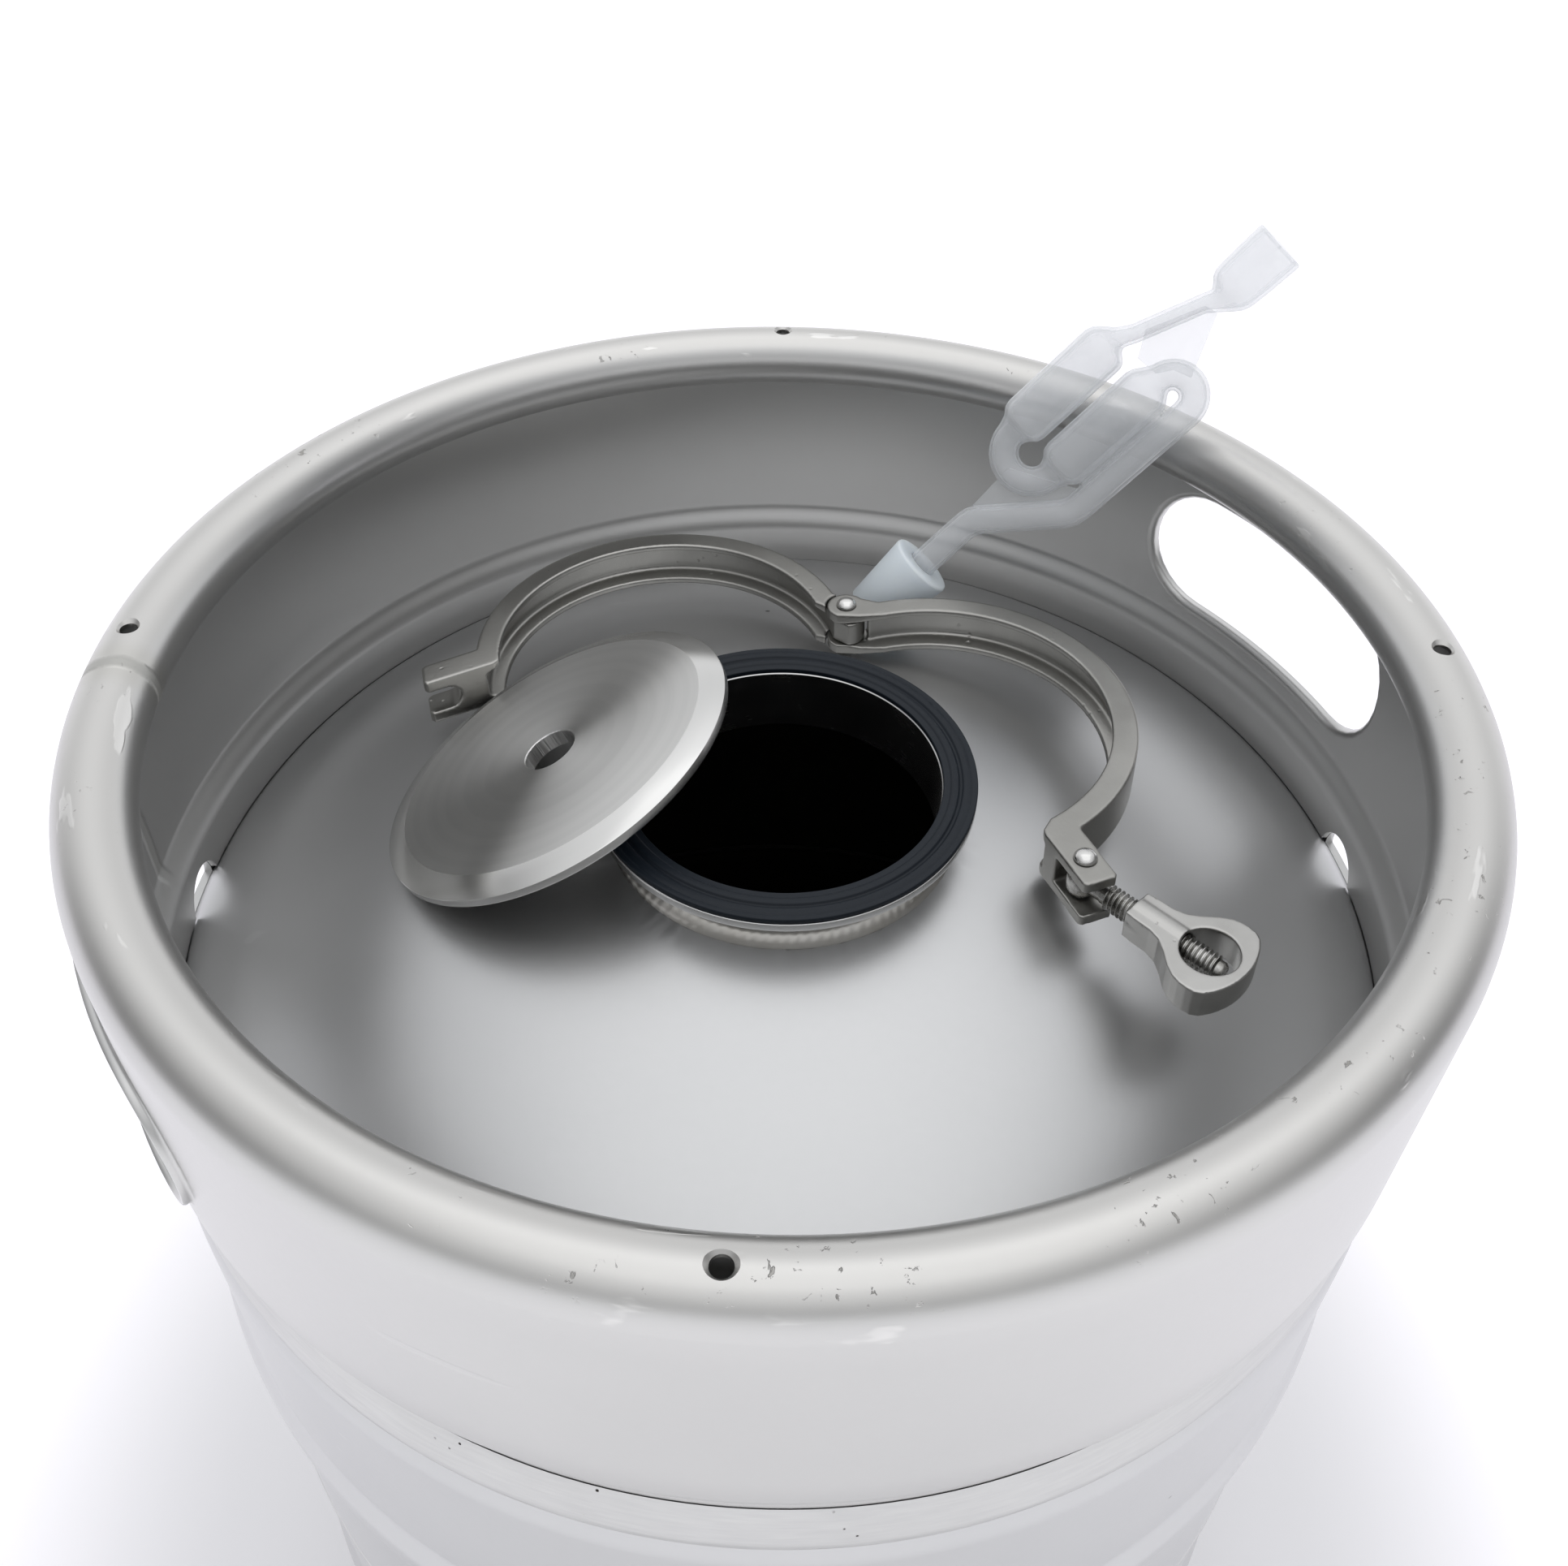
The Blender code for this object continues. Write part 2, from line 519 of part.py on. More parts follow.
def build_clamp():
    frame = bpy.data.objects.new("clamp_plane", None)
    PARTS.objects.link(frame)
    place(frame, CLAMP_HINGE, CLAMP_TILT)
    eared = eared_half(frame)
    slotted_half(frame)
    rivet("hinge_rivet", (0.0, 0.0, 0.0), frame)
    pin = shifted([BOLT_PIN], True)[0]
    rivet("bolt_rivet", (*pin, 0.0), eared)
    wing_nut(swing_bolt(eared, pin))


# ---- stopper and airlock -------------------------------------------------------------------------------
def airlock_route():
    """Centre line and radius of the blown tube, as (across, up, radius): stem, riser, two bulbs and outlet."""
    tube = 5.3
    bulb = 9.1
    stem = [(0.0, -22.0, 4.6), (0.0, 4.0, STEM_R), (0.0, 22.0, STEM_R), (1.4, 26.0, tube), (20.6, 50.8, tube),
            (21.8, 56.0, tube)]
    over = [(14.4 + x, 103.9 + y, tube) for x, y in arc(0.0, 0.0, 7.4, 0.0, 180.0, 8)]
    right = [(6.9, 101.2, 8.0), (6.9, 98.0, bulb), (6.9, 63.0, bulb), (6.9, 59.5, 8.0)]
    under = [(-3.2 + x, 56.5 + y, tube) for x, y in arc(0.0, 0.0, 10.1, -8.0, -172.0, 10)]
    left = [(-13.3, 59.5, 8.0), (-13.3, 63.0, bulb), (-13.3, 97.5, bulb), (-13.3, 100.8, 7.0)]
    outlet = [(-12.6, 103.6, 3.6), (-10.0, 107.5, 3.4), (-1.6, 132.0, 3.4), (0.6, 135.2, 4.6), (0.9, 138.6, 7.6)]
    cup = [(0.9, 142.0, 8.8), (0.9, 160.3, 9.3)]
    return stem + over + right + under + left + outlet + cup


def build_airlock(pose):
    route = airlock_route()
    spline_data = bpy.data.curves.new("airlock_route", "CURVE")
    spline_data.dimensions = "3D"
    spline_data.bevel_depth = MM
    spline_data.bevel_resolution = 3
    spline_data.use_fill_caps = True
    spline = spline_data.splines.new("POLY")
    spline.points.add(len(route) - 1)
    for point, (across, up, radius) in zip(spline.points, route):
        point.co = (across * MM, 0.0, up * MM, 1.0)
        point.radius = radius
    drawn = bpy.data.objects.new("airlock_route", spline_data)
    PARTS.objects.link(drawn)
    bpy.context.view_layer.update()
    mesh = bpy.data.meshes.new_from_object(drawn.evaluated_get(bpy.context.evaluated_depsgraph_get()))
    bpy.data.objects.remove(drawn)
    bm = bmesh.new()
    bm.from_mesh(mesh)
    bmesh.ops.remove_doubles(bm, verts=bm.verts, dist=0.00001)
    bmesh.ops.recalc_face_normals(bm, faces=bm.faces)
    bmesh.ops.scale(bm, vec=(1 / MM,) * 3, verts=bm.verts)
    airlock = mesh_object("airlock", bm, PLASTIC)
    mouth = cylinder("cup_cutter", 8.0, 142.5, 170.0, 16, group=CUTTERS)
    mouth.location = Vector((0.9, 0.0, 0.0)) * MM
    mouth.parent = airlock
    cut(airlock, mouth)
    airlock.matrix_world = pose
    wide, narrow = STOPPER_R
    bore = STEM_R + GAP
    stopper = lathe("stopper", [(bore, 0.0), (wide - 0.5, 0.0), (wide, -0.6), (narrow, -STOPPER_LENGTH),
                                (bore, -STOPPER_LENGTH)], SILICONE, segments=24)
    stopper.matrix_world = pose


clear_scene()
PARTS = collection("fermenter_keg")
CUTTERS = collection("cutters")

STEEL = material("satin_steel", (0.62, 0.62, 0.60), 0.42, 1.0)
CHIME = material("brushed_chime_steel", (0.66, 0.66, 0.64), 0.36, 1.0)
WELD = material("ground_weld", (0.55, 0.55, 0.54), 0.5, 1.0)
FERRULE = material("polished_ferrule", (0.7, 0.7, 0.7), 0.2, 1.0)
RUBBER = material("blue_black_rubber", (0.02, 0.025, 0.035), 0.45, 0.0)
CAP = material("turned_cap", (0.72, 0.71, 0.69), 0.28, 1.0)
CLAMP = material("tumbled_casting", (0.42, 0.40, 0.37), 0.38, 1.0)
RIVET = material("bright_rivet", (0.75, 0.74, 0.72), 0.2, 1.0)
BOLT = material("rolled_thread", (0.45, 0.44, 0.43), 0.3, 1.0)
NUT = material("cast_wing_nut", (0.45, 0.43, 0.41), 0.33, 1.0)
SILICONE = material("milky_silicone", (0.85, 0.87, 0.88), 0.45, 0.0)
PLASTIC = material("frosted_plastic", (0.86, 0.87, 0.88), 0.3, 0.0)

build_keg()
build_ferrule()
build_gasket()
build_cap()
build_clamp()
across = Vector(STEM_AXIS).cross(Vector(AIRLOCK_FACE)) * -1.0
build_airlock(frame_matrix(STOPPER_TOP, across, STEM_AXIS))
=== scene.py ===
"""Looks of a half-barrel keg turned into an open fermenter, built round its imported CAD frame."""
import json
import math

import bmesh
import bpy
from mathutils import Euler, Matrix, Vector

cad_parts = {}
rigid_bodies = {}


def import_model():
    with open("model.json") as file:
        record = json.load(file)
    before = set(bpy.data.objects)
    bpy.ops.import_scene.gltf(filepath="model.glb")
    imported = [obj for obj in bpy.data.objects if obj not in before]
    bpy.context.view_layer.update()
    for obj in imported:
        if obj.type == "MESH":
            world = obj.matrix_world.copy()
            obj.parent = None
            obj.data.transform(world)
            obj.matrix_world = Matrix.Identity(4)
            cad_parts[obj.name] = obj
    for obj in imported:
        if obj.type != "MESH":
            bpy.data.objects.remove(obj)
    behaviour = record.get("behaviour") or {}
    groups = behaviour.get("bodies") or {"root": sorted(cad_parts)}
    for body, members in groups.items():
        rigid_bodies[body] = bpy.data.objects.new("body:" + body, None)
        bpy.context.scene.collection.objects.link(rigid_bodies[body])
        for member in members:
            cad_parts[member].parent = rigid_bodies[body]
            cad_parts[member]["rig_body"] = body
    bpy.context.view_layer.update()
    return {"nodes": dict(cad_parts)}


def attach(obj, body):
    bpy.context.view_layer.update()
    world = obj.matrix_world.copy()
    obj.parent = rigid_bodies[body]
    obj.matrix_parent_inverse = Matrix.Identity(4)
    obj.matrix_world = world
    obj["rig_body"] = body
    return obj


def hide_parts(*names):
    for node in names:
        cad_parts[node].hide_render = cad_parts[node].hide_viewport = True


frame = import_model()

MM = 0.001
ROUND = 256                   # steps round the keg's big turned parts
FINE_ROUND = 192              # steps round the fittings on its dome

# ---- keg, mm: the sizes of the CAD frame ------------------------------------------------------------
RIM_Z = 592.0
CHIME_R = 197.5
CURL_R = 10.5
CURL_START = 288.0            # degrees round the curl at which its free edge ends
SHEET = 2.0
SHELL_SHEET = 1.5
WALL_R = 197.2
HOOP_R = 200.0
MID_Z = 296.0
HOOP_DZ = 94.6
KNUCKLE_R = 22.0
KNUCKLE_C = WALL_R - KNUCKLE_R
DOME_END_R = 183.8            # where the dome runs into its knuckle
DOME_SAG = 0.001147
DOME_TOP_Z = 525.3
DISH_LOW_Z = 14.0
CREASE_Z = 504.6
FOOT_R = 192.6
FOOT_NECK = 8.0
FOOT_OVER_KNUCKLE = 16.1
NECK_HOLE_R = 51.3
WEEP_HOLE_R = 2.5
WEEP_SINK_R = 3.8
WEEP_AZIMUTHS = (0.6, 91.2, 180.2, 267.0)
DRAIN_R = 11.75
DRAIN_AZIMUTHS = (6.0, 181.2)
DRAIN_TOP = 9.6
HANDHOLD_AZIMUTHS = (28.0, 208.0)
HANDHOLD_Z = 537.0
HANDHOLD_LENGTH = 116.0
HANDHOLD_HEIGHT = 45.0
LIP_R = 3.0
SEAM_AZIMUTH = 185.0          # weld that closes the top chime's sheet

FLANGE_R = 59.5
FLANGE_EDGE = 2.9
FLANGE_TAPER = math.radians(20.0)
TUBE_R = 50.8
BORE_R = 48.7
FLANGE_TOP_Z = 537.6
FERRULE_FOOT_Z = 515.0
GASKET_LOW_Z = 537.9
GASKET_TOP_Z = 539.8
CAP_FLAT_R = 52.0
CAP_HOLE_R = 8.75
CAP_CENTRE = (-71.8, 6.9, 537.5)
CAP_NORMAL = (-0.443, 0.082, 0.893)

CLAMP_HINGE = (21.25, 89.1, 527.0)
CLAMP_TILT = (math.radians(-1.04), math.radians(-2.29), 0.0)
HINGE_R = 66.4
RING_IN = 56.4
RING_OUT = 64.5
GROOVE_R = 61.4
CLAMP_HALF = 8.75
GROOVE_MOUTH = 6.55
GROOVE_FLOOR = 4.7
EAR_R = 6.8
EAR_GAP = 4.9
BARREL_HALF = 4.6
HINGE_CLEAR_R = 7.4
RIVET_R = 2.2
RIVET_HEAD_R = 3.5
RIVET_SEAT = 9.05
EARED_AZIMUTH = math.radians(114.6)
SLOTTED_AZIMUTH = math.radians(15.3)
BOLT_PIN = (-74.1, 9.1)
BOLT_SWING = math.radians(-46.5)
EYE_R = 4.7
THREAD_R = 3.9
THREAD_PITCH = 1.5
BOLT_LENGTH = 48.7
NUT_START = 18.7

STOPPER_TOP = (49.25, 113.28, 537.0)
STEM_AXIS = (0.6726, 0.1179, 0.7306)
STOPPER_LENGTH = 27.0
STOPPER_R = (12.3, 9.8)
STEM_R = 5.2
BLOWN_WALL = 1.1
AIRLOCK_FACE = (0.259, 0.867, -0.426)

# ---- stage: metres, watts and degrees ---------------------------------------------------------------
FLOOR_SIZE = 30.0
FLOOR_Z = -0.0005
PANEL_SIZE = (2.6, 2.6)
PANEL_WATTS = 9.0
PANEL_PLACE = (0.1, 0.0, 3.0)
CAMERA_PLACE = (0.0, -0.32263, 0.8515)
CAMERA_HEADING = 0.091
CAMERA_DIP = 40.86
CAMERA_ROLL = 1.13
LENS = 33.48
LENS_SHIFT = -0.0593

# ---- worked out, mm -----------------------------------------------------------------------------------
KNUCKLE_DROP = DOME_SAG * DOME_END_R ** 2 + math.sqrt(KNUCKLE_R ** 2 - (DOME_END_R - KNUCKLE_C) ** 2)
KNUCKLE_Z = DOME_TOP_Z - KNUCKLE_DROP
DISH_KNUCKLE_Z = DISH_LOW_Z + KNUCKLE_DROP


# ---- finishes ---------------------------------------------------------------------------------------
class Wire:
    """A shader socket that takes part in sums."""

    def __init__(self, finish, socket):
        self.finish = finish
        self.socket = socket

    def _sum(self, operation, first, second):
        return self.finish.node("ShaderNodeMath", {"operation": operation}, {0: first, 1: second})

    def __add__(self, other):
        return self._sum("ADD", self, other)

    def __radd__(self, other):
        return self._sum("ADD", other, self)

    def __sub__(self, other):
        return self._sum("SUBTRACT", self, other)

    def __rsub__(self, other):
        return self._sum("SUBTRACT", other, self)

    def __mul__(self, other):
        return self._sum("MULTIPLY", self, other)


class Finish:
    """A material made node by node round its Principled shader."""

    def __init__(self, name, **constants):
        self.material = bpy.data.materials.new(name)
        self.material.use_nodes = True
        self.tree = self.material.node_tree
        self.shader = self.tree.nodes["Principled BSDF"]
        for socket, value in constants.items():
            self.shader.inputs[socket.replace("_", " ")].default_value = value
        self.place = self.node("ShaderNodeTexCoord", output="Object")

    def node(self, kind, settings=None, sockets=None, output=0):
        made = self.tree.nodes.new(kind)
        for key, value in (settings or {}).items():
            if key == "stops":
                stops = made.color_ramp.elements
                while len(stops) < len(value):
                    stops.new(1.0)
                for stop, (at, colour) in zip(stops, value):
                    stop.position = at
                    stop.color = (*colour, 1.0)
            else:
                setattr(made, key, value)
        for key, value in (sockets or {}).items():
            self.feed(made.inputs[key], value)
        return Wire(self, made.outputs[output])

    def feed(self, socket, value):
        if isinstance(value, Wire):
            self.tree.links.new(value.socket, socket)
        else:
            socket.default_value = value

    def moved(self, scale=(1.0, 1.0, 1.0), location=(0.0, 0.0, 0.0), rotation=(0.0, 0.0, 0.0), kind="POINT",
              source=None):
        return self.node("ShaderNodeMapping", {"vector_type": kind},
                         {"Vector": source or self.place, "Scale": scale, "Location": location,
                          "Rotation": rotation})

    def noise(self, scale, detail=2.0, source=None, roughness=0.5, distortion=0.0):
        return self.node("ShaderNodeTexNoise", None,
                         {"Vector": source or self.place, "Scale": scale, "Detail": detail,
                          "Roughness": roughness, "Distortion": distortion})

    def cells(self, scale):
        """Distance to the nearest of scattered points."""
        return self.node("ShaderNodeTexVoronoi", None, {"Vector": self.place, "Scale": scale}, "Distance")

    def axes(self, source=None):
        split = self.tree.nodes.new("ShaderNodeSeparateXYZ")
        self.feed(split.inputs[0], source or self.place)
        return [Wire(self, split.outputs[i]) for i in range(3)]

    def radius(self, x, y):
        return self.node("ShaderNodeMath", {"operation": "SQRT"}, {0: x * x + y * y})

    def turn(self, x, y):
        return self.node("ShaderNodeMath", {"operation": "ARCTAN2"}, {0: y, 1: x})

    def row(self, x, y, z):
        return self.node("ShaderNodeCombineXYZ", None, {0: x, 1: y, 2: z})

    def between(self, value, low, high, first=0.0, last=1.0):
        """Smooth step of a value from one number to another."""
        sockets = {"Value": value, "From Min": low, "From Max": high, "To Min": first, "To Max": last}
        return self.node("ShaderNodeMapRange", {"interpolation_type": "SMOOTHSTEP"}, sockets)

    def mix(self, factor, first, second):
        ends = [(*c, 1.0) if isinstance(c, tuple) else c for c in (first, second)]
        return self.node("ShaderNodeMix", {"data_type": "RGBA"}, {0: factor, 6: ends[0], 7: ends[1]}, 2)

    def bump(self, height, depth, strength=1.0, over=None):
        """Relief of a height from 0 to 1, in metres."""
        sockets = {"Height": height, "Distance": depth, "Strength": strength}
        if over:
            sockets["Normal"] = over
        return self.node("ShaderNodeBump", None, sockets)

    def wear(self, **links):
        for socket, value in links.items():
            self.feed(self.shader.inputs[socket.replace("_", " ")], value)
        return self.material


class Room(Finish):
    """The light all round, made with the same nodes; its place is a direction."""

    def __init__(self, world):
        world.use_nodes = True
        self.tree = world.node_tree
        self.back = self.tree.nodes["Background"]
        self.place = self.node("ShaderNodeTexCoord", output="Generated")


def clouds(finish):
    """Slow and fine unevenness that pickled steel sheet has."""
    slow = finish.noise(9.0, 3.0, roughness=0.55)
    fine = finish.noise(420.0, 3.0, roughness=0.65)
    return slow, fine


def satin_steel():
    """Pickled sheet of the pressure vessel: soft, with sparse dark specks and faint scratches."""
    steel = Finish("satin_keg_steel", Metallic=1.0)
    slow, fine = clouds(steel)
    speck = 1.0 - steel.between(steel.cells(26.0), 0.014, 0.03)
    streak = steel.noise(70.0, 2.0, steel.moved((0.12, 1.0, 1.6), rotation=(0.2, 0.3, 0.7)))
    scratch = steel.between(streak, 0.755, 0.79)
    tone = steel.mix(slow, (0.50, 0.505, 0.51), (0.60, 0.60, 0.60))
    tone = steel.mix(speck * 0.75, tone, (0.06, 0.055, 0.05))
    tone = steel.mix(scratch * 0.12, tone, (0.78, 0.78, 0.78))
    gloss = 0.31 + slow * 0.10 + fine * 0.05 - scratch * 0.02
    relief = steel.bump(fine, 0.00003, 0.5)
    relief = steel.bump(streak, 0.00006, 0.25, relief)
    return steel.wear(Base_Color=tone, Roughness=gloss, Normal=relief)


def inside_steel():
    """The vessel's inside: the same sheet, less glossy, its tone made near black as painted shade for the
    unlit inside of the closed vessel.
    """
    steel = Finish("beer_stained_inside_steel", Metallic=0.6)
    slow, fine = clouds(steel)
    # painted shade: the near-black tone stands for the shade inside the closed vessel, not for a stain
    tone = steel.mix(slow, (0.035, 0.036, 0.036), (0.07, 0.07, 0.068))
    return steel.wear(Base_Color=tone, Roughness=0.5 + fine * 0.2, Normal=steel.bump(fine, 0.00003, 0.5))


def chime_steel():
    """The skirts' heavier sheet: worn bright on the rolled rim, with nicks, and a seam across it."""
    steel = Finish("worn_chime_steel", Metallic=1.0)
    x, y, z = steel.axes()
    slow, fine = clouds(steel)
    bend = steel.turn(x, y)
    around = steel.row(bend * 0.19, steel.radius(x, y), z)
    crown = steel.between(z, 0.5865, 0.5905)
    patch = steel.between(steel.noise(26.0, 2.0), 0.48, 0.60)
    chips = steel.noise(330.0, 4.0, around, 0.6, 0.6)
    nick = steel.between(chips, 0.645, 0.71) * crown * patch
    dash = steel.between(steel.noise(95.0, 3.0, steel.moved((0.35, 1.6, 1.0), source=around)), 0.66, 0.70)
    rub = dash * steel.between(z, 0.570, 0.589) * steel.between(slow, 0.42, 0.52)
    line = steel.noise(60.0, 2.0, steel.moved((0.10, 1.0, 1.3), source=around))
    scratch = steel.between(line, 0.73, 0.75)
    seam_at = steel.turn(x * math.cos(math.radians(SEAM_AZIMUTH)) + y * math.sin(math.radians(SEAM_AZIMUTH)),
                         y * math.cos(math.radians(SEAM_AZIMUTH)) - x * math.sin(math.radians(SEAM_AZIMUTH)))
    off = steel.node("ShaderNodeMath", {"operation": "ABSOLUTE"}, {0: seam_at})
    off = off * 0.187 + (fine - 0.5) * 0.0012
    seam = steel.between(off, 0.0010, 0.0032, 1.0, 0.0) * steel.between(z, 0.50, 0.51)
    heat = steel.between(off, 0.004, 0.011, 1.0, 0.0) * steel.between(z, 0.55, 0.58)
    tone = steel.mix(slow, (0.54, 0.54, 0.535), (0.63, 0.625, 0.615))
    tone = steel.mix(crown * 0.35, tone, (0.64, 0.62, 0.585))
    tone = steel.mix(heat * 0.35, tone, (0.50, 0.49, 0.45))
    tone = steel.mix(seam * 0.5, tone, (0.40, 0.40, 0.38))
    tone = steel.mix(nick * 0.55, tone, (0.22, 0.21, 0.19))
    tone = steel.mix(rub * 0.6, tone, (0.80, 0.79, 0.77))
    gloss = 0.29 + slow * 0.09 + fine * 0.05 + nick * 0.2 - rub * 0.08 + seam * 0.15 - scratch * 0.05
    relief = steel.bump(fine, 0.00003, 0.45)
    relief = steel.bump(1.0 - nick, 0.00035, 0.8, relief)
    relief = steel.bump(seam + rub * 0.2 - scratch * 0.1, 0.0004, 0.7, relief)
    return steel.wear(Base_Color=tone, Roughness=gloss, Normal=relief)


def ground_weld():
    """A weld dressed with a flap disc: grinding marks round the keg and open pores."""
    steel = Finish("ground_weld_steel", Metallic=1.0)
    x, y, z = steel.axes()
    around = steel.row(steel.turn(x, y) * 0.19, steel.radius(x, y), z)
    marks = steel.noise(900.0, 2.0, steel.moved((0.10, 1.0, 1.0), source=around))
    slow = steel.noise(30.0, 3.0)
    pore = steel.between(steel.cells(240.0), 0.07, 0.12, 1.0, 0.0) * steel.between(slow, 0.60, 0.68)
    tone = steel.mix(marks, (0.50, 0.50, 0.50), (0.60, 0.60, 0.59))
    tone = steel.mix(pore, tone, (0.05, 0.045, 0.04))
    relief = steel.bump(marks, 0.0001, 0.5)
    relief = steel.bump(1.0 - pore, 0.0004, 0.9, relief)
    return steel.wear(Base_Color=tone, Roughness=0.28 + slow * 0.2 + pore * 0.4, Normal=relief)


def bead_weld():
    """A hand-run bead round the ferrule, left as welded: overlapping ripples and heat tint."""
    steel = Finish("ferrule_bead_steel", Metallic=1.0)
    x, y, _ = steel.axes()
    wander = steel.noise(90.0, 2.0)
    ripple = steel.node("ShaderNodeMath", {"operation": "SINE"},
                        {0: steel.turn(x, y) * 105.0 + steel.radius(x, y) * 900.0 + wander * 5.0})
    tone = steel.mix(wander, (0.44, 0.42, 0.38), (0.60, 0.59, 0.57))
    relief = steel.bump(ripple * 0.5 + 0.5, 0.0003, 0.25)
    return steel.wear(Base_Color=tone, Roughness=0.26 + wander * 0.14, Normal=relief)


def ferrule_steel():
    """Machined and polished pipe fitting, with turning lines and light handling marks."""
    steel = Finish("turned_ferrule_steel", Metallic=1.0)
    x, y, z = steel.axes()
    rings = steel.noise(1.0, 3.0, steel.row(steel.radius(x, y) * 1400.0, z * 1400.0, 0.0), 0.7)
    smear = steel.noise(55.0, 3.0)
    tone = steel.mix(rings, (0.60, 0.60, 0.60), (0.74, 0.74, 0.73))
    relief = steel.bump(rings, 0.00003, 0.5)
    return steel.wear(Base_Color=tone, Roughness=0.14 + smear * 0.16 + rings * 0.06, Normal=relief)


def gasket_rubber():
    """Moulded rubber, blue-black, with concentric moulding lines and a little dust."""
    rubber = Finish("blue_black_gasket_rubber", IOR=1.36)
    x, y, _ = rubber.axes()
    reach = rubber.radius(x, y)
    rings = rubber.noise(1.0, 2.0, rubber.row(reach * 900.0, 0.0, 0.0))
    grain = rubber.noise(700.0, 3.0)
    dust = rubber.between(rubber.noise(60.0, 5.0, roughness=0.7), 0.55, 0.75)
    tone = rubber.mix(rings, (0.003, 0.006, 0.011), (0.008, 0.013, 0.020))
    tone = rubber.mix(dust * 0.18, tone, (0.05, 0.06, 0.07))
    relief = rubber.bump(grain, 0.00005, 0.5)
    relief = rubber.bump(rings, 0.00008, 0.4, relief)
    return rubber.wear(Base_Color=tone, Roughness=0.42 + grain * 0.12 + dust * 0.15, Normal=relief)


def cap_steel(pose):
    """Faced in a lathe: very fine rings about the cap's own axis, so that light draws out in a wedge."""
    steel = Finish("lathe_turned_cap_steel", Metallic=1.0, Anisotropic=0.78, Anisotropic_Rotation=0.25)
    own = steel.moved(location=pose.to_translation(), rotation=pose.to_euler(), kind="TEXTURE")
    x, y, z = steel.axes(own)
    reach = steel.radius(x, y)
    fine = steel.noise(1.0, 2.0, steel.row(reach * 2600.0, 0.0, z * 900.0), 0.7)
    broad = steel.noise(1.0, 3.0, steel.row(reach * 260.0, 0.0, z * 300.0), 0.6)
    haze = steel.noise(38.0, 4.0, own)
    # painted highlight: a thin ring at the bevel's edge is lightened in the colour as a highlight line, and
    # made a little glossier
    bevel = steel.between(reach, 0.0519, 0.0522)
    tone = steel.mix(broad, (0.55, 0.55, 0.54), (0.66, 0.655, 0.64))
    tone = steel.mix(bevel * 0.6, tone, (0.74, 0.735, 0.72))
    gloss = 0.27 + broad * 0.05 + haze * 0.07 - bevel * 0.10
    relief = steel.bump(fine, 0.00002, 0.5)
    relief = steel.bump(broad, 0.00006, 0.35, relief)
    return steel.wear(Base_Color=tone, Roughness=gloss, Normal=relief)


def clamp_casting():
    """Investment casting after tumbling: dull grey-brown with small dents, smoother where it was rubbed."""
    steel = Finish("tumbled_clamp_casting", Metallic=1.0)
    slow = steel.noise(45.0, 4.0, roughness=0.6)
    grain = steel.noise(900.0, 3.0, roughness=0.6)
    dent = steel.between(steel.cells(210.0), 0.05, 0.22, 1.0, 0.0) * steel.between(slow, 0.5, 0.62)
    rubbed = steel.between(steel.noise(16.0, 2.0), 0.45, 0.62)
    tone = steel.mix(slow, (0.27, 0.265, 0.25), (0.40, 0.395, 0.375))
    tone = steel.mix(rubbed * 0.35, tone, (0.50, 0.49, 0.465))
    gloss = 0.33 + grain * 0.08 - rubbed * 0.08 + dent * 0.1
    relief = steel.bump(grain, 0.00006, 0.6)
    relief = steel.bump(1.0 - dent, 0.0003, 0.5, relief)
    return steel.wear(Base_Color=tone, Roughness=gloss, Normal=relief)


def nut_casting():
    """The wing nut's casting, a little brighter and smoother than the clamp's."""
    steel = Finish("polished_nut_casting", Metallic=1.0)
    slow = steel.noise(70.0, 3.0)
    grain = steel.noise(800.0, 3.0)
    dent = steel.between(steel.cells(330.0), 0.06, 0.2, 1.0, 0.0) * steel.between(slow, 0.52, 0.6)
    tone = steel.mix(slow, (0.34, 0.335, 0.32), (0.52, 0.515, 0.50))
    relief = steel.bump(grain, 0.00004, 0.5)
    relief = steel.bump(1.0 - dent, 0.0002, 0.5, relief)
    return steel.wear(Base_Color=tone, Roughness=0.23 + slow * 0.14 + dent * 0.1, Normal=relief)


def rivet_steel():
    """Headed pins, bright from the setting tool, with faint circular smears."""
    steel = Finish("bright_rivet_steel", Metallic=1.0)
    smear = steel.noise(260.0, 3.0, roughness=0.6)
    fine = steel.noise(1500.0, 2.0)
    tone = steel.mix(smear, (0.58, 0.575, 0.56), (0.74, 0.735, 0.72))
    return steel.wear(Base_Color=tone, Roughness=0.14 + smear * 0.16, Normal=steel.bump(fine, 0.00002, 0.5))


def bolt_steel():
    """Rolled thread: bright crests, and dull grease-darkened flanks in patches."""
    steel = Finish("rolled_thread_steel", Metallic=1.0)
    smear = steel.noise(180.0, 4.0, roughness=0.65)
    fine = steel.noise(1800.0, 2.0)
    tone = steel.mix(steel.between(smear, 0.35, 0.65), (0.26, 0.255, 0.24), (0.56, 0.555, 0.54))
    return steel.wear(Base_Color=tone, Roughness=0.18 + smear * 0.18, Normal=steel.bump(fine, 0.00002, 0.6))


def silicone():
    """Milky silicone: light goes a little way in, and a fine matt skin."""
    rubber = Finish("milky_silicone", IOR=1.41, Subsurface_Weight=0.55, Subsurface_Scale=0.004,
                    Subsurface_Radius=(1.0, 1.0, 1.1))
    slow = rubber.noise(60.0, 3.0)
    skin = rubber.noise(900.0, 3.0)
    tone = rubber.mix(slow, (0.68, 0.75, 0.80), (0.80, 0.85, 0.88))
    return rubber.wear(Base_Color=tone, Roughness=0.38 + slow * 0.14, Normal=rubber.bump(skin, 0.00005, 0.5))


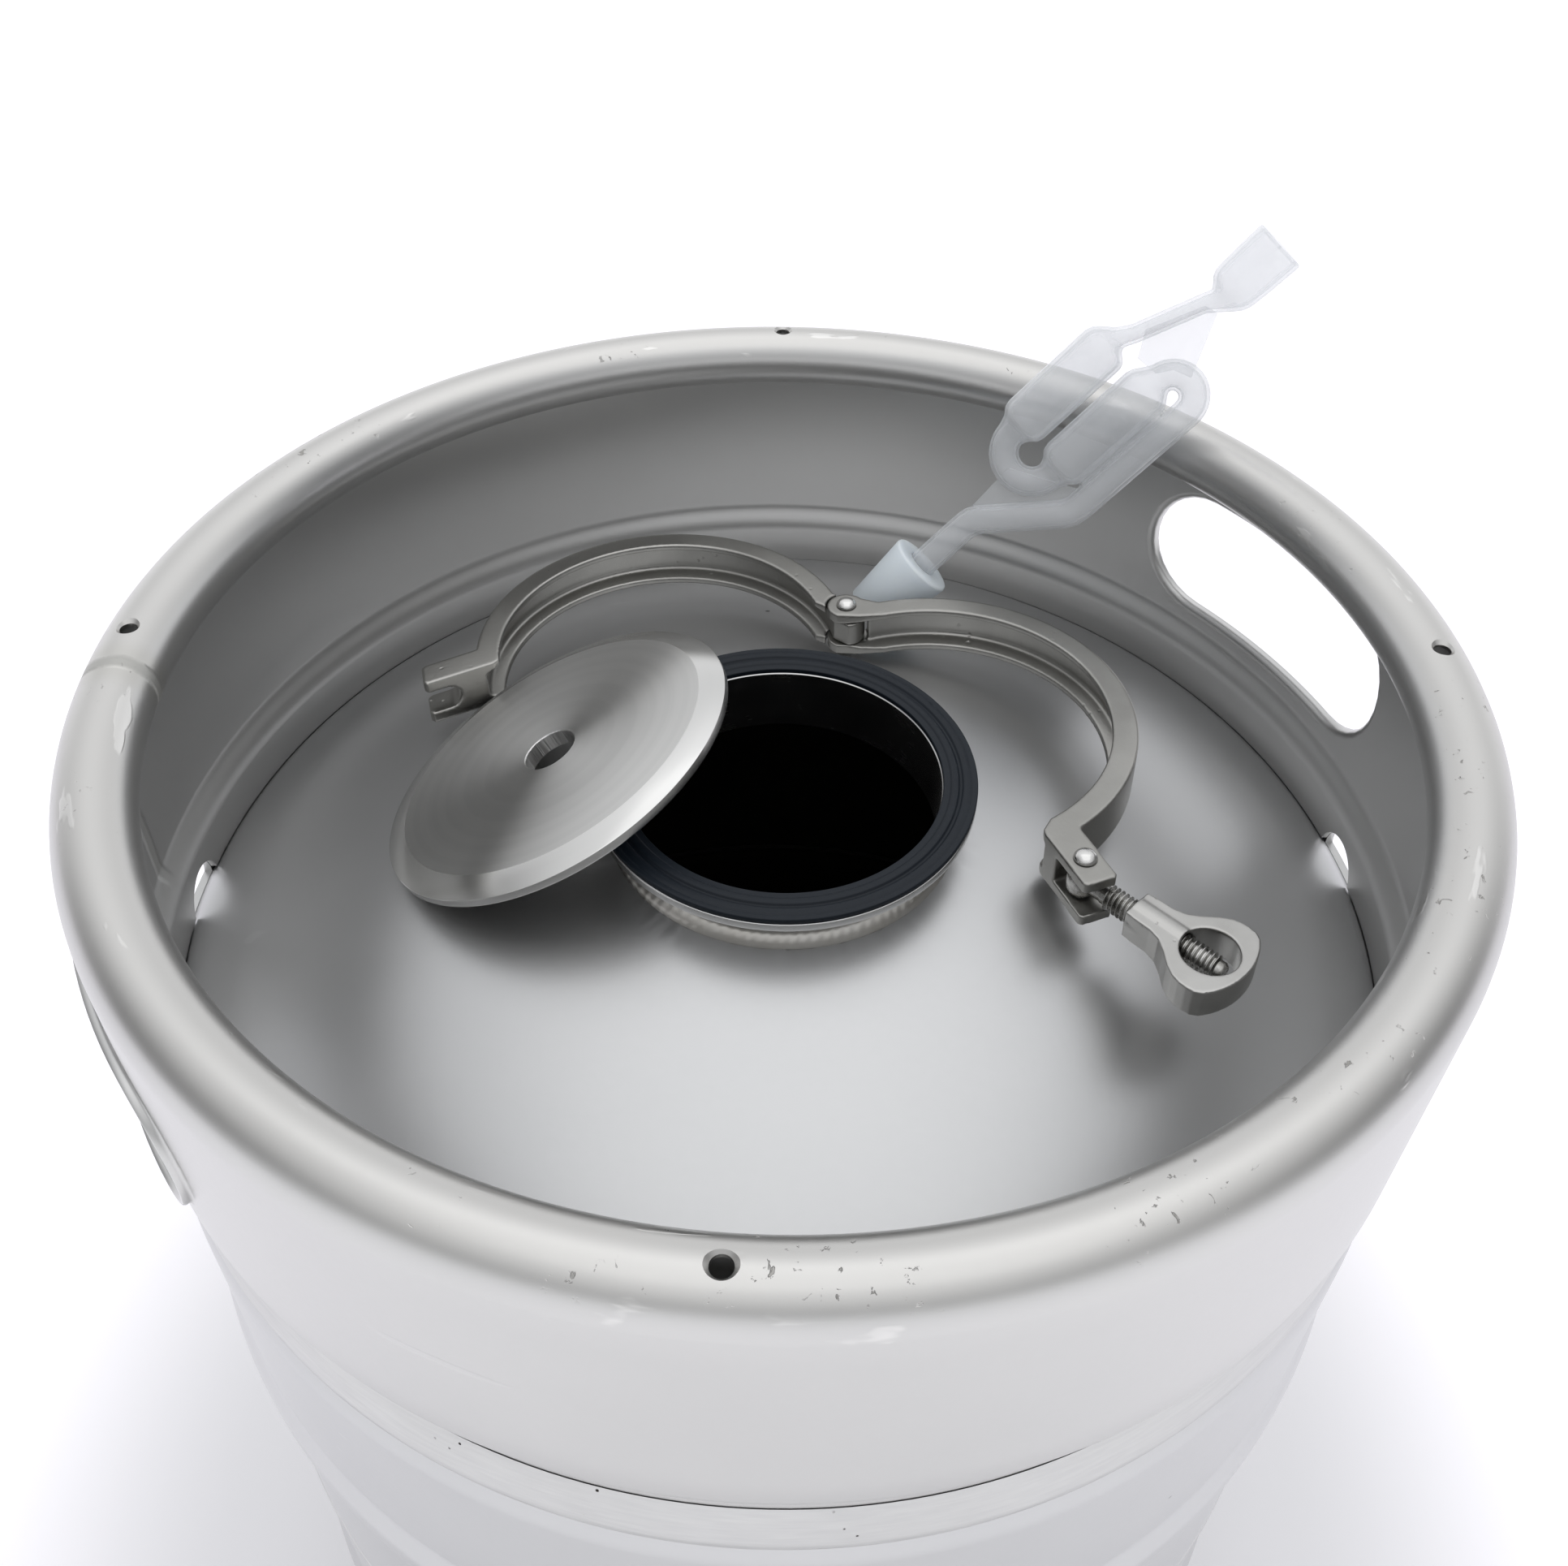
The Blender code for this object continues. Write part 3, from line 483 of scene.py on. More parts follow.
def airlock_plastic(pose):
    """Blown polypropylene: a hazy clear wall that whitens where it is seen edge-on."""
    plastic = Finish("hazy_airlock_plastic", IOR=1.49)
    own = plastic.moved(location=pose.to_translation(), rotation=pose.to_euler(), kind="TEXTURE")
    slow = plastic.noise(50.0, 3.0, own)
    skin = plastic.noise(300.0, 3.0, own)
    edge = plastic.node("ShaderNodeLayerWeight", None, {"Blend": 0.42}, "Facing")
    tone = plastic.mix(slow, (0.80, 0.83, 0.86), (0.92, 0.93, 0.945))
    haze = 0.17 + edge * edge * edge * 1.0 + slow * 0.12
    return plastic.wear(Base_Color=tone, Roughness=0.20 + slow * 0.16, Alpha=haze,
                        Normal=plastic.bump(skin, 0.0002, 0.5))


def pale_floor():
    """Plain paper with painted light: it glows from within away from the keg and a little more in front of
    it, and the ring round the keg that does not glow is a painted contact shadow.
    """
    floor = Finish("pale_paper", Roughness=0.75, Emission_Strength=1.0)
    grain = floor.noise(3.0, 2.0)
    x, y, _ = floor.axes()
    tone = floor.mix(grain, (0.86, 0.85, 0.87), (0.90, 0.89, 0.91))
    # painted glow, a little brighter in front of the keg
    far = floor.mix(floor.between(y, -0.42, -0.18), (0.42, 0.42, 0.43), (0.36, 0.35, 0.38))
    # painted contact shadow: no glow within 0.28 m of the keg, full glow from 0.48 m
    glow = floor.mix(floor.between(floor.radius(x, y), 0.28, 0.48), (0.0, 0.0, 0.0), far)
    return floor.wear(Base_Color=tone, Emission_Color=glow)


# ---- drawing tools ----------------------------------------------------------------------------------
def arc(cx, cy, radius, start, end, steps):
    """Points on a circle from one angle to another, in degrees."""
    turn = [math.radians(start + (end - start) * i / steps) for i in range(steps + 1)]
    return [(cx + radius * math.cos(a), cy + radius * math.sin(a)) for a in turn]


def ease(start, end, steps):
    """An S-shaped passage between two points of (radius, z): the radius eases, the height is even."""
    made = []
    for i in range(steps + 1):
        t = i / steps
        share = t * t * (3 - 2 * t)
        made.append((start[0] + (end[0] - start[0]) * share, start[1] + (end[1] - start[1]) * t))
    return made


def pick(piece):
    """Make one piece active, with nothing else selected."""
    if bpy.context.object and bpy.context.object.mode != "OBJECT":
        bpy.ops.object.mode_set(mode="OBJECT")
    bpy.ops.object.select_all(action="DESELECT")
    piece.select_set(True)
    bpy.context.view_layer.objects.active = piece


def line(name, points):
    """One vertex, extruded from place to place; points are in millimetres."""
    if bpy.context.object and bpy.context.object.mode != "OBJECT":
        bpy.ops.object.mode_set(mode="OBJECT")
    bpy.ops.object.select_all(action="DESELECT")
    bpy.ops.mesh.primitive_plane_add(size=MM, location=(0.0, 0.0, 0.0))
    piece = bpy.context.object
    piece.name = name
    spots = [Vector(p) * MM for p in points]
    bpy.ops.object.mode_set(mode="EDIT")
    bpy.ops.mesh.select_all(action="SELECT")
    bpy.ops.mesh.merge(type="CENTER")
    bpy.ops.transform.translate(value=spots[0])
    for here, there in zip(spots, spots[1:]):
        bpy.ops.mesh.extrude_vertices_move(TRANSFORM_OT_translate={"value": there - here})
    return piece


def turned(name, profile, closed=True, steps=ROUND, sheet=0.0, inner=0):
    """Spin a profile of (radius, z) round Z. An open one gets a wall of sheet, with inner as the finish of
    its inside."""
    profile = profile + profile[:1] if closed else profile
    piece = line(name, [(r, 0.0, z) for r, z in profile])
    bpy.ops.mesh.select_all(action="SELECT")
    bpy.ops.mesh.remove_doubles(threshold=0.000001)
    bpy.ops.mesh.select_all(action="SELECT")
    bpy.ops.mesh.spin(steps=steps, angle=2 * math.pi, center=(0.0, 0.0, 0.0), axis=(0.0, 0.0, 1.0))
    bpy.ops.mesh.select_all(action="SELECT")
    bpy.ops.mesh.remove_doubles(threshold=0.000002)
    bpy.ops.mesh.normals_make_consistent(inside=False)
    bpy.ops.object.mode_set(mode="OBJECT")
    if sheet:
        piece.data.materials.append(None)
        piece.data.materials.append(None)
        shape(piece, "SOLIDIFY", thickness=sheet * MM, offset=-1.0, use_even_offset=True,
              material_offset=inner)
    return piece


def plate(name, outline, low, high):
    """Fill a flat outline of (x, y) and extrude it from one height to another."""
    points = [(x, y, low) for x, y in outline]
    piece = line(name, points + points[:1])
    bpy.ops.mesh.select_all(action="SELECT")
    bpy.ops.mesh.remove_doubles(threshold=0.000001)
    bpy.ops.mesh.select_all(action="SELECT")
    bpy.ops.mesh.edge_face_add()
    bpy.ops.mesh.extrude_region_move(TRANSFORM_OT_translate={"value": (0.0, 0.0, (high - low) * MM)})
    bpy.ops.mesh.select_all(action="SELECT")
    bpy.ops.mesh.normals_make_consistent(inside=False)
    bpy.ops.object.mode_set(mode="OBJECT")
    return piece


def bar(name, radius, low, high, steps=48):
    """A plain round bar along Z."""
    return turned(name, [(0.0, low), (radius, low), (radius, high), (0.0, high)], closed=False, steps=steps)


def shape(piece, kind, **settings):
    """Add a modifier and apply it."""
    pick(piece)
    made = piece.modifiers.new(kind.lower(), kind)
    for key, value in settings.items():
        setattr(made, key, value)
    bpy.ops.object.modifier_apply(modifier=made.name)
    return piece


def cut(piece, tool, operation="DIFFERENCE"):
    """A Boolean whose tool is then thrown away."""
    shape(piece, "BOOLEAN", object=tool, operation=operation, solver="EXACT")
    bpy.data.objects.remove(tool, do_unlink=True)
    return piece


def joined(piece, *others):
    """Make other pieces part of this one."""
    pick(piece)
    for other in others:
        other.select_set(True)
    bpy.ops.object.join()
    return piece


def settle(piece, matrix):
    """Put a piece in its place, with that place in its mesh."""
    pick(piece)
    piece.matrix_world = matrix
    bpy.ops.object.transform_apply(location=True, rotation=True, scale=True)
    return piece


def ragged(piece, radius, offset, seed):
    """Shake the edge of a hand-cut hole: every vertex within a radius of Z, in millimetres."""
    pick(piece)
    bpy.ops.object.mode_set(mode="EDIT")
    bpy.ops.mesh.select_mode(type="VERT")
    bpy.ops.mesh.select_all(action="DESELECT")
    bpy.ops.object.mode_set(mode="OBJECT")
    for vert in piece.data.vertices:
        vert.select = math.hypot(vert.co.x, vert.co.y) < radius * MM
    bpy.ops.object.mode_set(mode="EDIT")
    bpy.ops.transform.vertex_random(offset=offset * MM, seed=seed)
    bpy.ops.object.mode_set(mode="OBJECT")
    return piece


def smooth(piece, degrees=32.0):
    """Shade smooth, but for edges sharper than this."""
    pick(piece)
    bpy.ops.object.shade_smooth_by_angle(angle=math.radians(degrees))
    return piece


def cast(piece, voxel, rounds, keep=1.0):
    """Turn sharp booleans into one skin with the soft edges of a tumbled casting."""
    shape(piece, "REMESH", mode="VOXEL", voxel_size=voxel * MM)
    shape(piece, "SMOOTH", factor=0.5, iterations=rounds)
    if keep < 1.0:
        shape(piece, "DECIMATE", ratio=keep)
    return piece


def stand_for(piece, node, finish, inner=None):
    """Finish a piece: its materials, the CAD node it replaces and the body it rides on."""
    piece.name = "shown_" + node
    if inner:
        piece.data.materials[0] = finish
        piece.data.materials[1] = inner
    else:
        piece.data.materials.clear()
        piece.data.materials.append(finish)
    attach(piece, frame["nodes"][node]["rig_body"])
    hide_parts(node)


def frame_matrix(origin, x_axis, z_axis):
    """A right-handed frame from its Z axis and a rough X axis."""
    z = Vector(z_axis).normalized()
    y = z.cross(Vector(x_axis)).normalized()
    x = y.cross(z)
    return Matrix.Translation(Vector(origin) * MM) @ Matrix((x, y, z)).transposed().to_4x4()


def about(azimuth):
    return Matrix.Rotation(math.radians(azimuth), 4, "Z")


# ---- keg --------------------------------------------------------------------------------------------
def dome_z(radius):
    return DOME_TOP_Z - DOME_SAG * radius * radius


def shell_profile(hole):
    """The upper half of the vessel from the hole in its crown to the girth weld."""
    count = 22
    ridge = [hole + (DOME_END_R - hole) * i / count for i in range(count + 1)]
    outline = [(r, dome_z(r)) for r in ridge]
    outline += arc(KNUCKLE_C, KNUCKLE_Z, KNUCKLE_R, 65.0, 0.0, 12)[1:]
    crest = MID_Z + HOOP_DZ
    outline += ease((WALL_R, crest + 14.0), (HOOP_R, crest + 1.5), 9)
    outline += ease((HOOP_R, crest - 1.5), (WALL_R, crest - 26.0), 12)
    return outline + [(WALL_R, MID_Z + 1.5)]


def upper_shell():
    """The upper half, its crown cut open by hand for the ferrule."""
    shell = turned("upper_shell", shell_profile(NECK_HOLE_R), False, sheet=SHELL_SHEET, inner=1)
    return smooth(ragged(shell, NECK_HOLE_R + 0.2, 0.5, 4))


def lower_shell():
    """The lower half is the upper one turned over, with its dish closed."""
    drop = [(r, RIM_Z - z) for r, z in shell_profile(0.0)]
    low = DISH_LOW_Z - (RIM_Z - DOME_TOP_Z)
    moved = [(r, z + low) if z < DISH_KNUCKLE_Z - low else (r, z) for r, z in drop]
    return smooth(turned("lower_shell", moved, False, sheet=SHELL_SHEET, inner=1))


def skirt_profile(rim_z, foot_z, crease_z, up):
    """A skirt in section: the rolled rim, the wall, the neck and the foot."""
    centre_z = rim_z - up * CURL_R
    curl = arc(CHIME_R - CURL_R, 0.0, CURL_R, CURL_START, 0.0, 30)
    curl = [(r, centre_z + up * z) for r, z in curl]
    wall = [(CHIME_R, centre_z + (crease_z + up * 3.0 - centre_z) * i / 8) for i in range(1, 8)]
    neck = ease((CHIME_R, crease_z + up * 3.0), (FOOT_R, crease_z - up * FOOT_NECK), 10)
    return curl + wall + neck + [(FOOT_R, (crease_z - up * FOOT_NECK + foot_z) / 2), (FOOT_R, foot_z)]


def slot_points(grow, steps=14):
    """Outline of a handhold, unrolled: along the keg and up."""
    half = HANDHOLD_HEIGHT / 2 + grow
    reach = HANDHOLD_LENGTH / 2 - HANDHOLD_HEIGHT / 2
    right = arc(reach, 0.0, half, -90.0, 90.0, steps)
    left = arc(-reach, 0.0, half, 90.0, 270.0, steps)
    across = [(reach - 2 * reach * i / steps, half) for i in range(1, steps)]
    back = [(-reach + 2 * reach * i / steps, -half) for i in range(1, steps)]
    return right + across + left + back


def on_skirt(along, up, out, azimuth):
    """A point of the unrolled skirt laid on the keg, in metres."""
    turn = math.radians(azimuth) + along / CHIME_R
    radius = CHIME_R + out
    return Vector((radius * math.cos(turn), radius * math.sin(turn), HANDHOLD_Z + up)) * MM


def lofted(name, loops, ends=False):
    """Skin closed loops of points one after another; ends closes the first and the last loop."""
    bm = bmesh.new()
    rows = [[bm.verts.new(p) for p in loop] for loop in loops]
    for row, following in zip(rows, rows[1:] if ends else rows[1:] + rows[:1]):
        for i in range(len(row)):
            j = (i + 1) % len(row)
            bm.faces.new((row[i], row[j], following[j], following[i]))
    if ends:
        bm.faces.new(rows[0][::-1])
        bm.faces.new(rows[-1])
    bmesh.ops.recalc_face_normals(bm, faces=bm.faces)
    mesh = bpy.data.meshes.new(name)
    bm.to_mesh(mesh)
    bm.free()
    piece = bpy.data.objects.new(name, mesh)
    bpy.context.scene.collection.objects.link(piece)
    return piece


def handhold_lip(azimuth):
    """Sheet flared outward round a handhold: a round lip that leaves the wall smoothly."""
    radius = LIP_R
    section = [(radius + 1.4, -SHEET + 0.02), (radius, -SHEET + 0.02)]
    section += [(radius - radius * math.sin(a), -SHEET + radius - radius * math.cos(a))
                for a in [math.radians(15.0 * i) for i in range(1, 7)]]
    section += [(0.0, 1.6), (0.5, 2.3), (1.5, 2.3), (SHEET, 1.6)]
    section += [(radius - (radius - SHEET) * math.sin(a), -SHEET + radius - (radius - SHEET) * math.cos(a))
                for a in [math.radians(15.0 * i) for i in range(6, 0, -1)]]
    section += [(radius, -0.02), (radius + 1.4, -0.02)]
    loops = []
    for grow, out in section:
        loops.append([on_skirt(x, y, out, azimuth) for x, y in slot_points(grow)])
    return lofted("lip", loops)


def skirt_hole(azimuth):
    """A plug through the skirt, where a handhold is pressed out."""
    loops = [[on_skirt(x, y, out, azimuth) for x, y in slot_points(LIP_R + 0.1)] for out in (-8.0, 8.0)]
    return lofted("hole", loops, ends=True)


def drain_plug(azimuth, z):
    """A half-round plug through the skirt's foot, flat side down."""
    outline = arc(0.0, 0.0, DRAIN_R, 0.0, 180.0, 24) + [(-DRAIN_R, -0.7), (DRAIN_R, -0.7)]
    plug = plate("drain", outline, 185.0, 205.0)
    turn = math.radians(azimuth)
    return settle(plug, frame_matrix((0.0, 0.0, z), (-math.sin(turn), math.cos(turn), 0.0),
                                     (math.cos(turn), math.sin(turn), 0.0)))


def top_chime(foot_z):
    """The top skirt, with its handholds, weep holes and drain notches."""
    skirt = turned("top_chime", skirt_profile(RIM_Z, foot_z, CREASE_Z, 1.0), False, sheet=SHEET)
    for azimuth in HANDHOLD_AZIMUTHS:
        cut(skirt, skirt_hole(azimuth))
    for azimuth in WEEP_AZIMUTHS:
        spot = about(azimuth) @ Matrix.Translation(((CHIME_R - CURL_R) * MM, 0.0, 0.0))
        drill = turned("drill", [(0.0, RIM_Z - 6.0), (WEEP_HOLE_R, RIM_Z - 6.0), (WEEP_HOLE_R, RIM_Z - 1.2),
                                 (WEEP_SINK_R, RIM_Z + 0.2), (WEEP_SINK_R, RIM_Z + 4.0), (0.0, RIM_Z + 4.0)],
                       False, 32)
        cut(skirt, settle(drill, spot))
    for azimuth in DRAIN_AZIMUTHS:
        cut(skirt, drain_plug(azimuth, foot_z + DRAIN_TOP - DRAIN_R))
    joined(skirt, *[handhold_lip(azimuth) for azimuth in HANDHOLD_AZIMUTHS])
    return smooth(skirt, 40.0)


def chime_weld(name, foot_z, up):
    """The dressed weld that fills the corner between a skirt's foot and the vessel."""
    corner_z = KNUCKLE_Z if up > 0 else DISH_KNUCKLE_Z
    touch = [(r, corner_z + up * z) for r, z in arc(KNUCKLE_C, 0.0, KNUCKLE_R + 0.1, 22.0, 37.0, 4)]
    face = [(FOOT_R + 0.2, foot_z + up * 8.5), (193.6, foot_z + up * 6.6), (194.9, foot_z + up * 1.0),
            (195.7, corner_z + up * 12.0), (195.95, corner_z + up * 9.4)]
    return turned(name, face + touch)


def build_keg():
    steel = satin_steel()
    chime = chime_steel()
    weld = ground_weld()
    inside = inside_steel()
    stand_for(upper_shell(), "upper_shell", steel, inside)
    stand_for(lower_shell(), "lower_shell", steel, inside)
    bead = [(WALL_R - SHELL_SHEET, -2.0), (WALL_R, -2.0), (WALL_R + 0.35, -1.1), (WALL_R + 0.5, 0.0),
            (WALL_R + 0.35, 1.1), (WALL_R, 2.0), (WALL_R - SHELL_SHEET, 2.0)]
    seam = turned("girth", [(r, MID_Z + z) for r, z in bead])
    stand_for(smooth(seam, 50.0), "girth_weld", weld)
    top_foot = KNUCKLE_Z + FOOT_OVER_KNUCKLE
    stand_for(top_chime(top_foot), "top_chime", chime)
    low_foot = DISH_KNUCKLE_Z - FOOT_OVER_KNUCKLE
    low_crease = low_foot - (CREASE_Z - top_foot) + 4.0
    low = turned("low", skirt_profile(0.0, low_foot, low_crease, -1.0), False, sheet=SHEET)
    stand_for(smooth(low), "bottom_chime", chime)
    ring = chime_weld("top_weld", top_foot, 1.0)
    for azimuth in DRAIN_AZIMUTHS:
        cut(ring, drain_plug(azimuth, top_foot + DRAIN_TOP - DRAIN_R))
    stand_for(smooth(ring, 50.0), "top_chime_weld", weld)
    stand_for(smooth(chime_weld("low_weld", low_foot, -1.0), 50.0), "bottom_chime_weld", weld)


# ---- ferrule, gasket and end cap ----------------------------------------------------------------------
def build_ferrule():
    edge_z = FLANGE_TOP_Z - FLANGE_EDGE
    root_r = TUBE_R + 0.9
    root_z = edge_z - (FLANGE_R - root_r) * math.tan(FLANGE_TAPER)
    seat = [(BORE_R, FLANGE_TOP_Z - 0.3), (BORE_R + 0.3, FLANGE_TOP_Z), (53.2, FLANGE_TOP_Z),
            (53.7, FLANGE_TOP_Z - 0.6), (54.4, FLANGE_TOP_Z - 0.8), (55.0, FLANGE_TOP_Z - 0.6),
            (55.5, FLANGE_TOP_Z)]
    rim = arc(FLANGE_R - 0.5, FLANGE_TOP_Z - 0.5, 0.5, 90.0, 0.0, 4)
    rim += arc(FLANGE_R - 0.5, edge_z + 0.5, 0.5, 0.0, -60.0, 4)
    tube = arc(root_r + 0.9, root_z - 1.8, 1.8, 110.0, 180.0, 6)
    tube += [(TUBE_R, FERRULE_FOOT_Z + 0.3), (TUBE_R - 0.3, FERRULE_FOOT_Z), (BORE_R, FERRULE_FOOT_Z)]
    ferrule = smooth(turned("ferrule", seat + rim + tube, steps=FINE_ROUND))
    stand_for(ferrule, "ferrule", ferrule_steel())
    shoulder = dome_z(53.5)
    out = TUBE_R + 4.4
    bead = [(TUBE_R + 0.1, shoulder + 4.2), (TUBE_R + 1.2, shoulder + 4.0), (TUBE_R + 2.4, shoulder + 3.2),
            (TUBE_R + 3.5, shoulder + 1.9), (TUBE_R + 4.2, shoulder + 0.9), (out, dome_z(out) + 0.05),
            (TUBE_R + 0.1, dome_z(TUBE_R) + 0.05)]
    stand_for(smooth(turned("bead", bead, steps=FINE_ROUND), 60.0), "ferrule_weld", bead_weld())


def build_gasket():
    low, top = GASKET_LOW_Z, GASKET_TOP_Z
    inner = [(BORE_R + 0.3, low), (BORE_R + 0.3, top - 0.7), (BORE_R + 0.5, top - 0.5), (50.9, top - 0.5),
             (51.2, top - 0.35), (51.4, top - 0.1), (51.7, top)]
    groove = [(53.3, top), (53.6, top - 0.15), (53.8, top - 0.6), (54.1, top - 0.75), (54.5, top - 0.75),
              (54.8, top - 0.6), (55.0, top - 0.15), (55.3, top)]
    outer = [(57.4, top), (57.6, top - 0.12), (57.8, top - 0.12), (58.0, top)]
    edge = arc(FLANGE_R - 0.5, top - 0.5, 0.5, 90.0, 0.0, 4) + [(FLANGE_R, low + 0.3), (FLANGE_R - 0.3, low)]
    gasket = smooth(turned("gasket", inner + groove + outer + edge, steps=FINE_ROUND), 40.0)
    stand_for(gasket, "gasket", gasket_rubber())


def build_cap():
    pose = frame_matrix(CAP_CENTRE, (1.0, 0.0, 0.0), CAP_NORMAL)
    rise = (FLANGE_R - CAP_FLAT_R) * math.tan(FLANGE_TAPER)
    face = [(CAP_HOLE_R, rise - 0.3), (CAP_HOLE_R + 0.3, rise), (30.0, rise), (CAP_FLAT_R - 0.15, rise),
            (CAP_FLAT_R + 0.15, rise - 0.06), (FLANGE_R - 0.25, 0.08)]
    edge = [(FLANGE_R, -0.15), (FLANGE_R, -FLANGE_EDGE + 0.5), (FLANGE_R - 0.15, -FLANGE_EDGE + 0.15),
            (FLANGE_R - 0.5, -FLANGE_EDGE)]
    under = [(50.4, -FLANGE_EDGE), (50.0, -FLANGE_EDGE + 0.5), (49.6, -FLANGE_EDGE), (30.0, -FLANGE_EDGE),
             (CAP_HOLE_R + 0.3, -FLANGE_EDGE), (CAP_HOLE_R, -FLANGE_EDGE + 0.3)]
    cap = ragged(turned("cap", face + edge + under, steps=FINE_ROUND), CAP_HOLE_R + 0.1, 0.18, 7)
    smooth(settle(cap, pose), 25.0)
    stand_for(cap, "end_cap", cap_steel(pose))


# ---- clamp ----------------------------------------------------------------------------------------------
def shifted(points, mirrored):
    """Move an outline from its ring centre to the hinge, and turn it over for the second half."""
    side = -1.0 if mirrored else 1.0
    moved = [(x - HINGE_R, side * y) for x, y in points]
    return moved[::-1] if mirrored else moved


def groove(mirrored):
    """The tapered groove that pulls two flanges together, with a small ledge at its mouth."""
    taper = (GROOVE_MOUTH - GROOVE_FLOOR) / (GROOVE_R - RING_IN)
    wide = GROOVE_MOUTH + 8.0 * taper
    inner = RING_IN - 8.0
    section = [(inner, wide), (GROOVE_R - 0.6, GROOVE_FLOOR + 0.2), (GROOVE_R, GROOVE_FLOOR - 0.5),
               (GROOVE_R, 0.5 - GROOVE_FLOOR), (GROOVE_R - 0.6, -GROOVE_FLOOR - 0.2), (inner, -wide)]
    tool = line("groove", [(r, 0.0, z) for r, z in section + section[:1]])
    bpy.ops.mesh.select_all(action="SELECT")
    bpy.ops.mesh.remove_doubles(threshold=0.000001)
    bpy.ops.mesh.select_all(action="SELECT")
    bpy.ops.mesh.edge_face_add()
    bpy.ops.mesh.spin(steps=96, angle=math.radians(240.0), center=(0.0, 0.0, 0.0), axis=(0.0, 0.0, 1.0))
    bpy.ops.mesh.select_all(action="SELECT")
    bpy.ops.mesh.normals_make_consistent(inside=False)
    bpy.ops.object.mode_set(mode="OBJECT")
    reach = [v.co.y for v in tool.data.vertices]
    start = -30.0 if max(reach) > -min(reach) else 210.0      # spin may wind either way
    settle(tool, Matrix.Rotation(math.radians(start), 4, "Z"))
    flip = Matrix.Diagonal((1.0, -1.0 if mirrored else 1.0, 1.0, 1.0))
    settle(tool, Matrix.Translation((-HINGE_R * MM, 0.0, 0.0)) @ flip)
    if mirrored:
        bpy.ops.object.mode_set(mode="EDIT")
        bpy.ops.mesh.select_all(action="SELECT")
        bpy.ops.mesh.normals_make_consistent(inside=False)
        bpy.ops.object.mode_set(mode="OBJECT")
    return tool


def rivet_hole(spot):
    """A drill for a rivet's hole at (x, y)."""
    drill = bar("tool", RIVET_R + 0.3, -12.0, 12.0)
    return settle(drill, Matrix.Translation((spot[0] * MM, spot[1] * MM, 0.0)))


def eared_half():
    """The half with two ears at each end: for the knuckle, and for the swing bolt's eye."""
    ear = arc(HINGE_R, 0.0, EAR_R, -125.0, 75.0, 28)
    back = arc(0.0, 0.0, RING_OUT, 10.0, 166.8, 90)
    lug = [(-83.1, 13.9), (-84.0, 13.0), (-83.4, 4.2), (-82.4, 3.2), (-60.5, 3.8), (-58.7, 4.6)]
    inside = arc(0.0, 0.0, RING_IN, 171.0, 10.0, 90)
    outline = shifted(ear + back + lug + inside + [(58.6, 1.5)], True)
    half = plate("eared", outline, -CLAMP_HALF, CLAMP_HALF)
    cut(half, groove(True))
    slot = [(-67.5, -20.0), (-67.5, 30.0), (-95.0, 30.0), (-95.0, -20.0)]
    cut(half, plate("slot", shifted(slot, True), -EAR_GAP, EAR_GAP))
    cut(half, bar("tool", HINGE_CLEAR_R + 0.6, -EAR_GAP, EAR_GAP))
    cut(half, rivet_hole((0.0, 0.0)))
    cut(half, rivet_hole(shifted([BOLT_PIN], True)[0]))
    return cast(half, 0.42, 5, 0.5)


def slotted_half():
    """The half with the knuckle, and with the fork that takes the swing bolt's shank."""
    knuckle = arc(HINGE_R, 0.0, EAR_R - 0.2, -100.0, 60.0, 24)
    back = arc(0.0, 0.0, RING_OUT, 7.0, 169.6, 90)
    fork = [(-81.2, 7.4), (-82.6, 6.0), (-82.4, -1.6), (-81.2, -3.0), (-58.2, 2.0)]
    inside = arc(0.0, 0.0, RING_IN, 176.5, 5.0, 90)
    outline = shifted(knuckle + back + fork + inside + [(60.0, 0.5)], False)
    half = plate("slotted", outline, -CLAMP_HALF, CLAMP_HALF)
    cut(half, groove(False))
    slot = [(-75.0, -30.0), (-75.0, 30.0), (-95.0, 30.0), (-95.0, -30.0)]
    cut(half, plate("slot", shifted(slot, False), -4.4, 4.4))
    root = settle(bar("root", 4.4, -30.0, 30.0), Matrix.Translation(((-75.0 - HINGE_R) * MM, 0.0, 0.0))
                  @ Matrix.Rotation(math.pi / 2, 4, "X"))
    cut(half, root)
    cut(half, bar("tool", HINGE_CLEAR_R, BARREL_HALF, 12.0))
    cut(half, bar("tool", HINGE_CLEAR_R, -12.0, -BARREL_HALF))
    cut(half, rivet_hole((0.0, 0.0)))
    return cast(half, 0.42, 5, 0.5)


def rivet():
    """A headed pin: a domed head on top, and a flatter one set below."""
    dome = [(0.0, 2.1), (1.2, 2.0), (2.1, 1.7), (2.9, 1.15), (3.3, 0.6), (RIVET_HEAD_R, 0.15),
            (RIVET_HEAD_R, 0.0)]
    flat = [(RIVET_HEAD_R, 0.0), (3.4, -0.5), (2.9, -0.9), (1.6, -1.15), (0.0, -1.2)]
    profile = [(r, z + RIVET_SEAT) for r, z in dome] + [(RIVET_R, RIVET_SEAT), (RIVET_R, -RIVET_SEAT)]
    profile += [(r, z - RIVET_SEAT) for r, z in flat]
    return smooth(turned("rivet", profile, False, 48), 45.0)


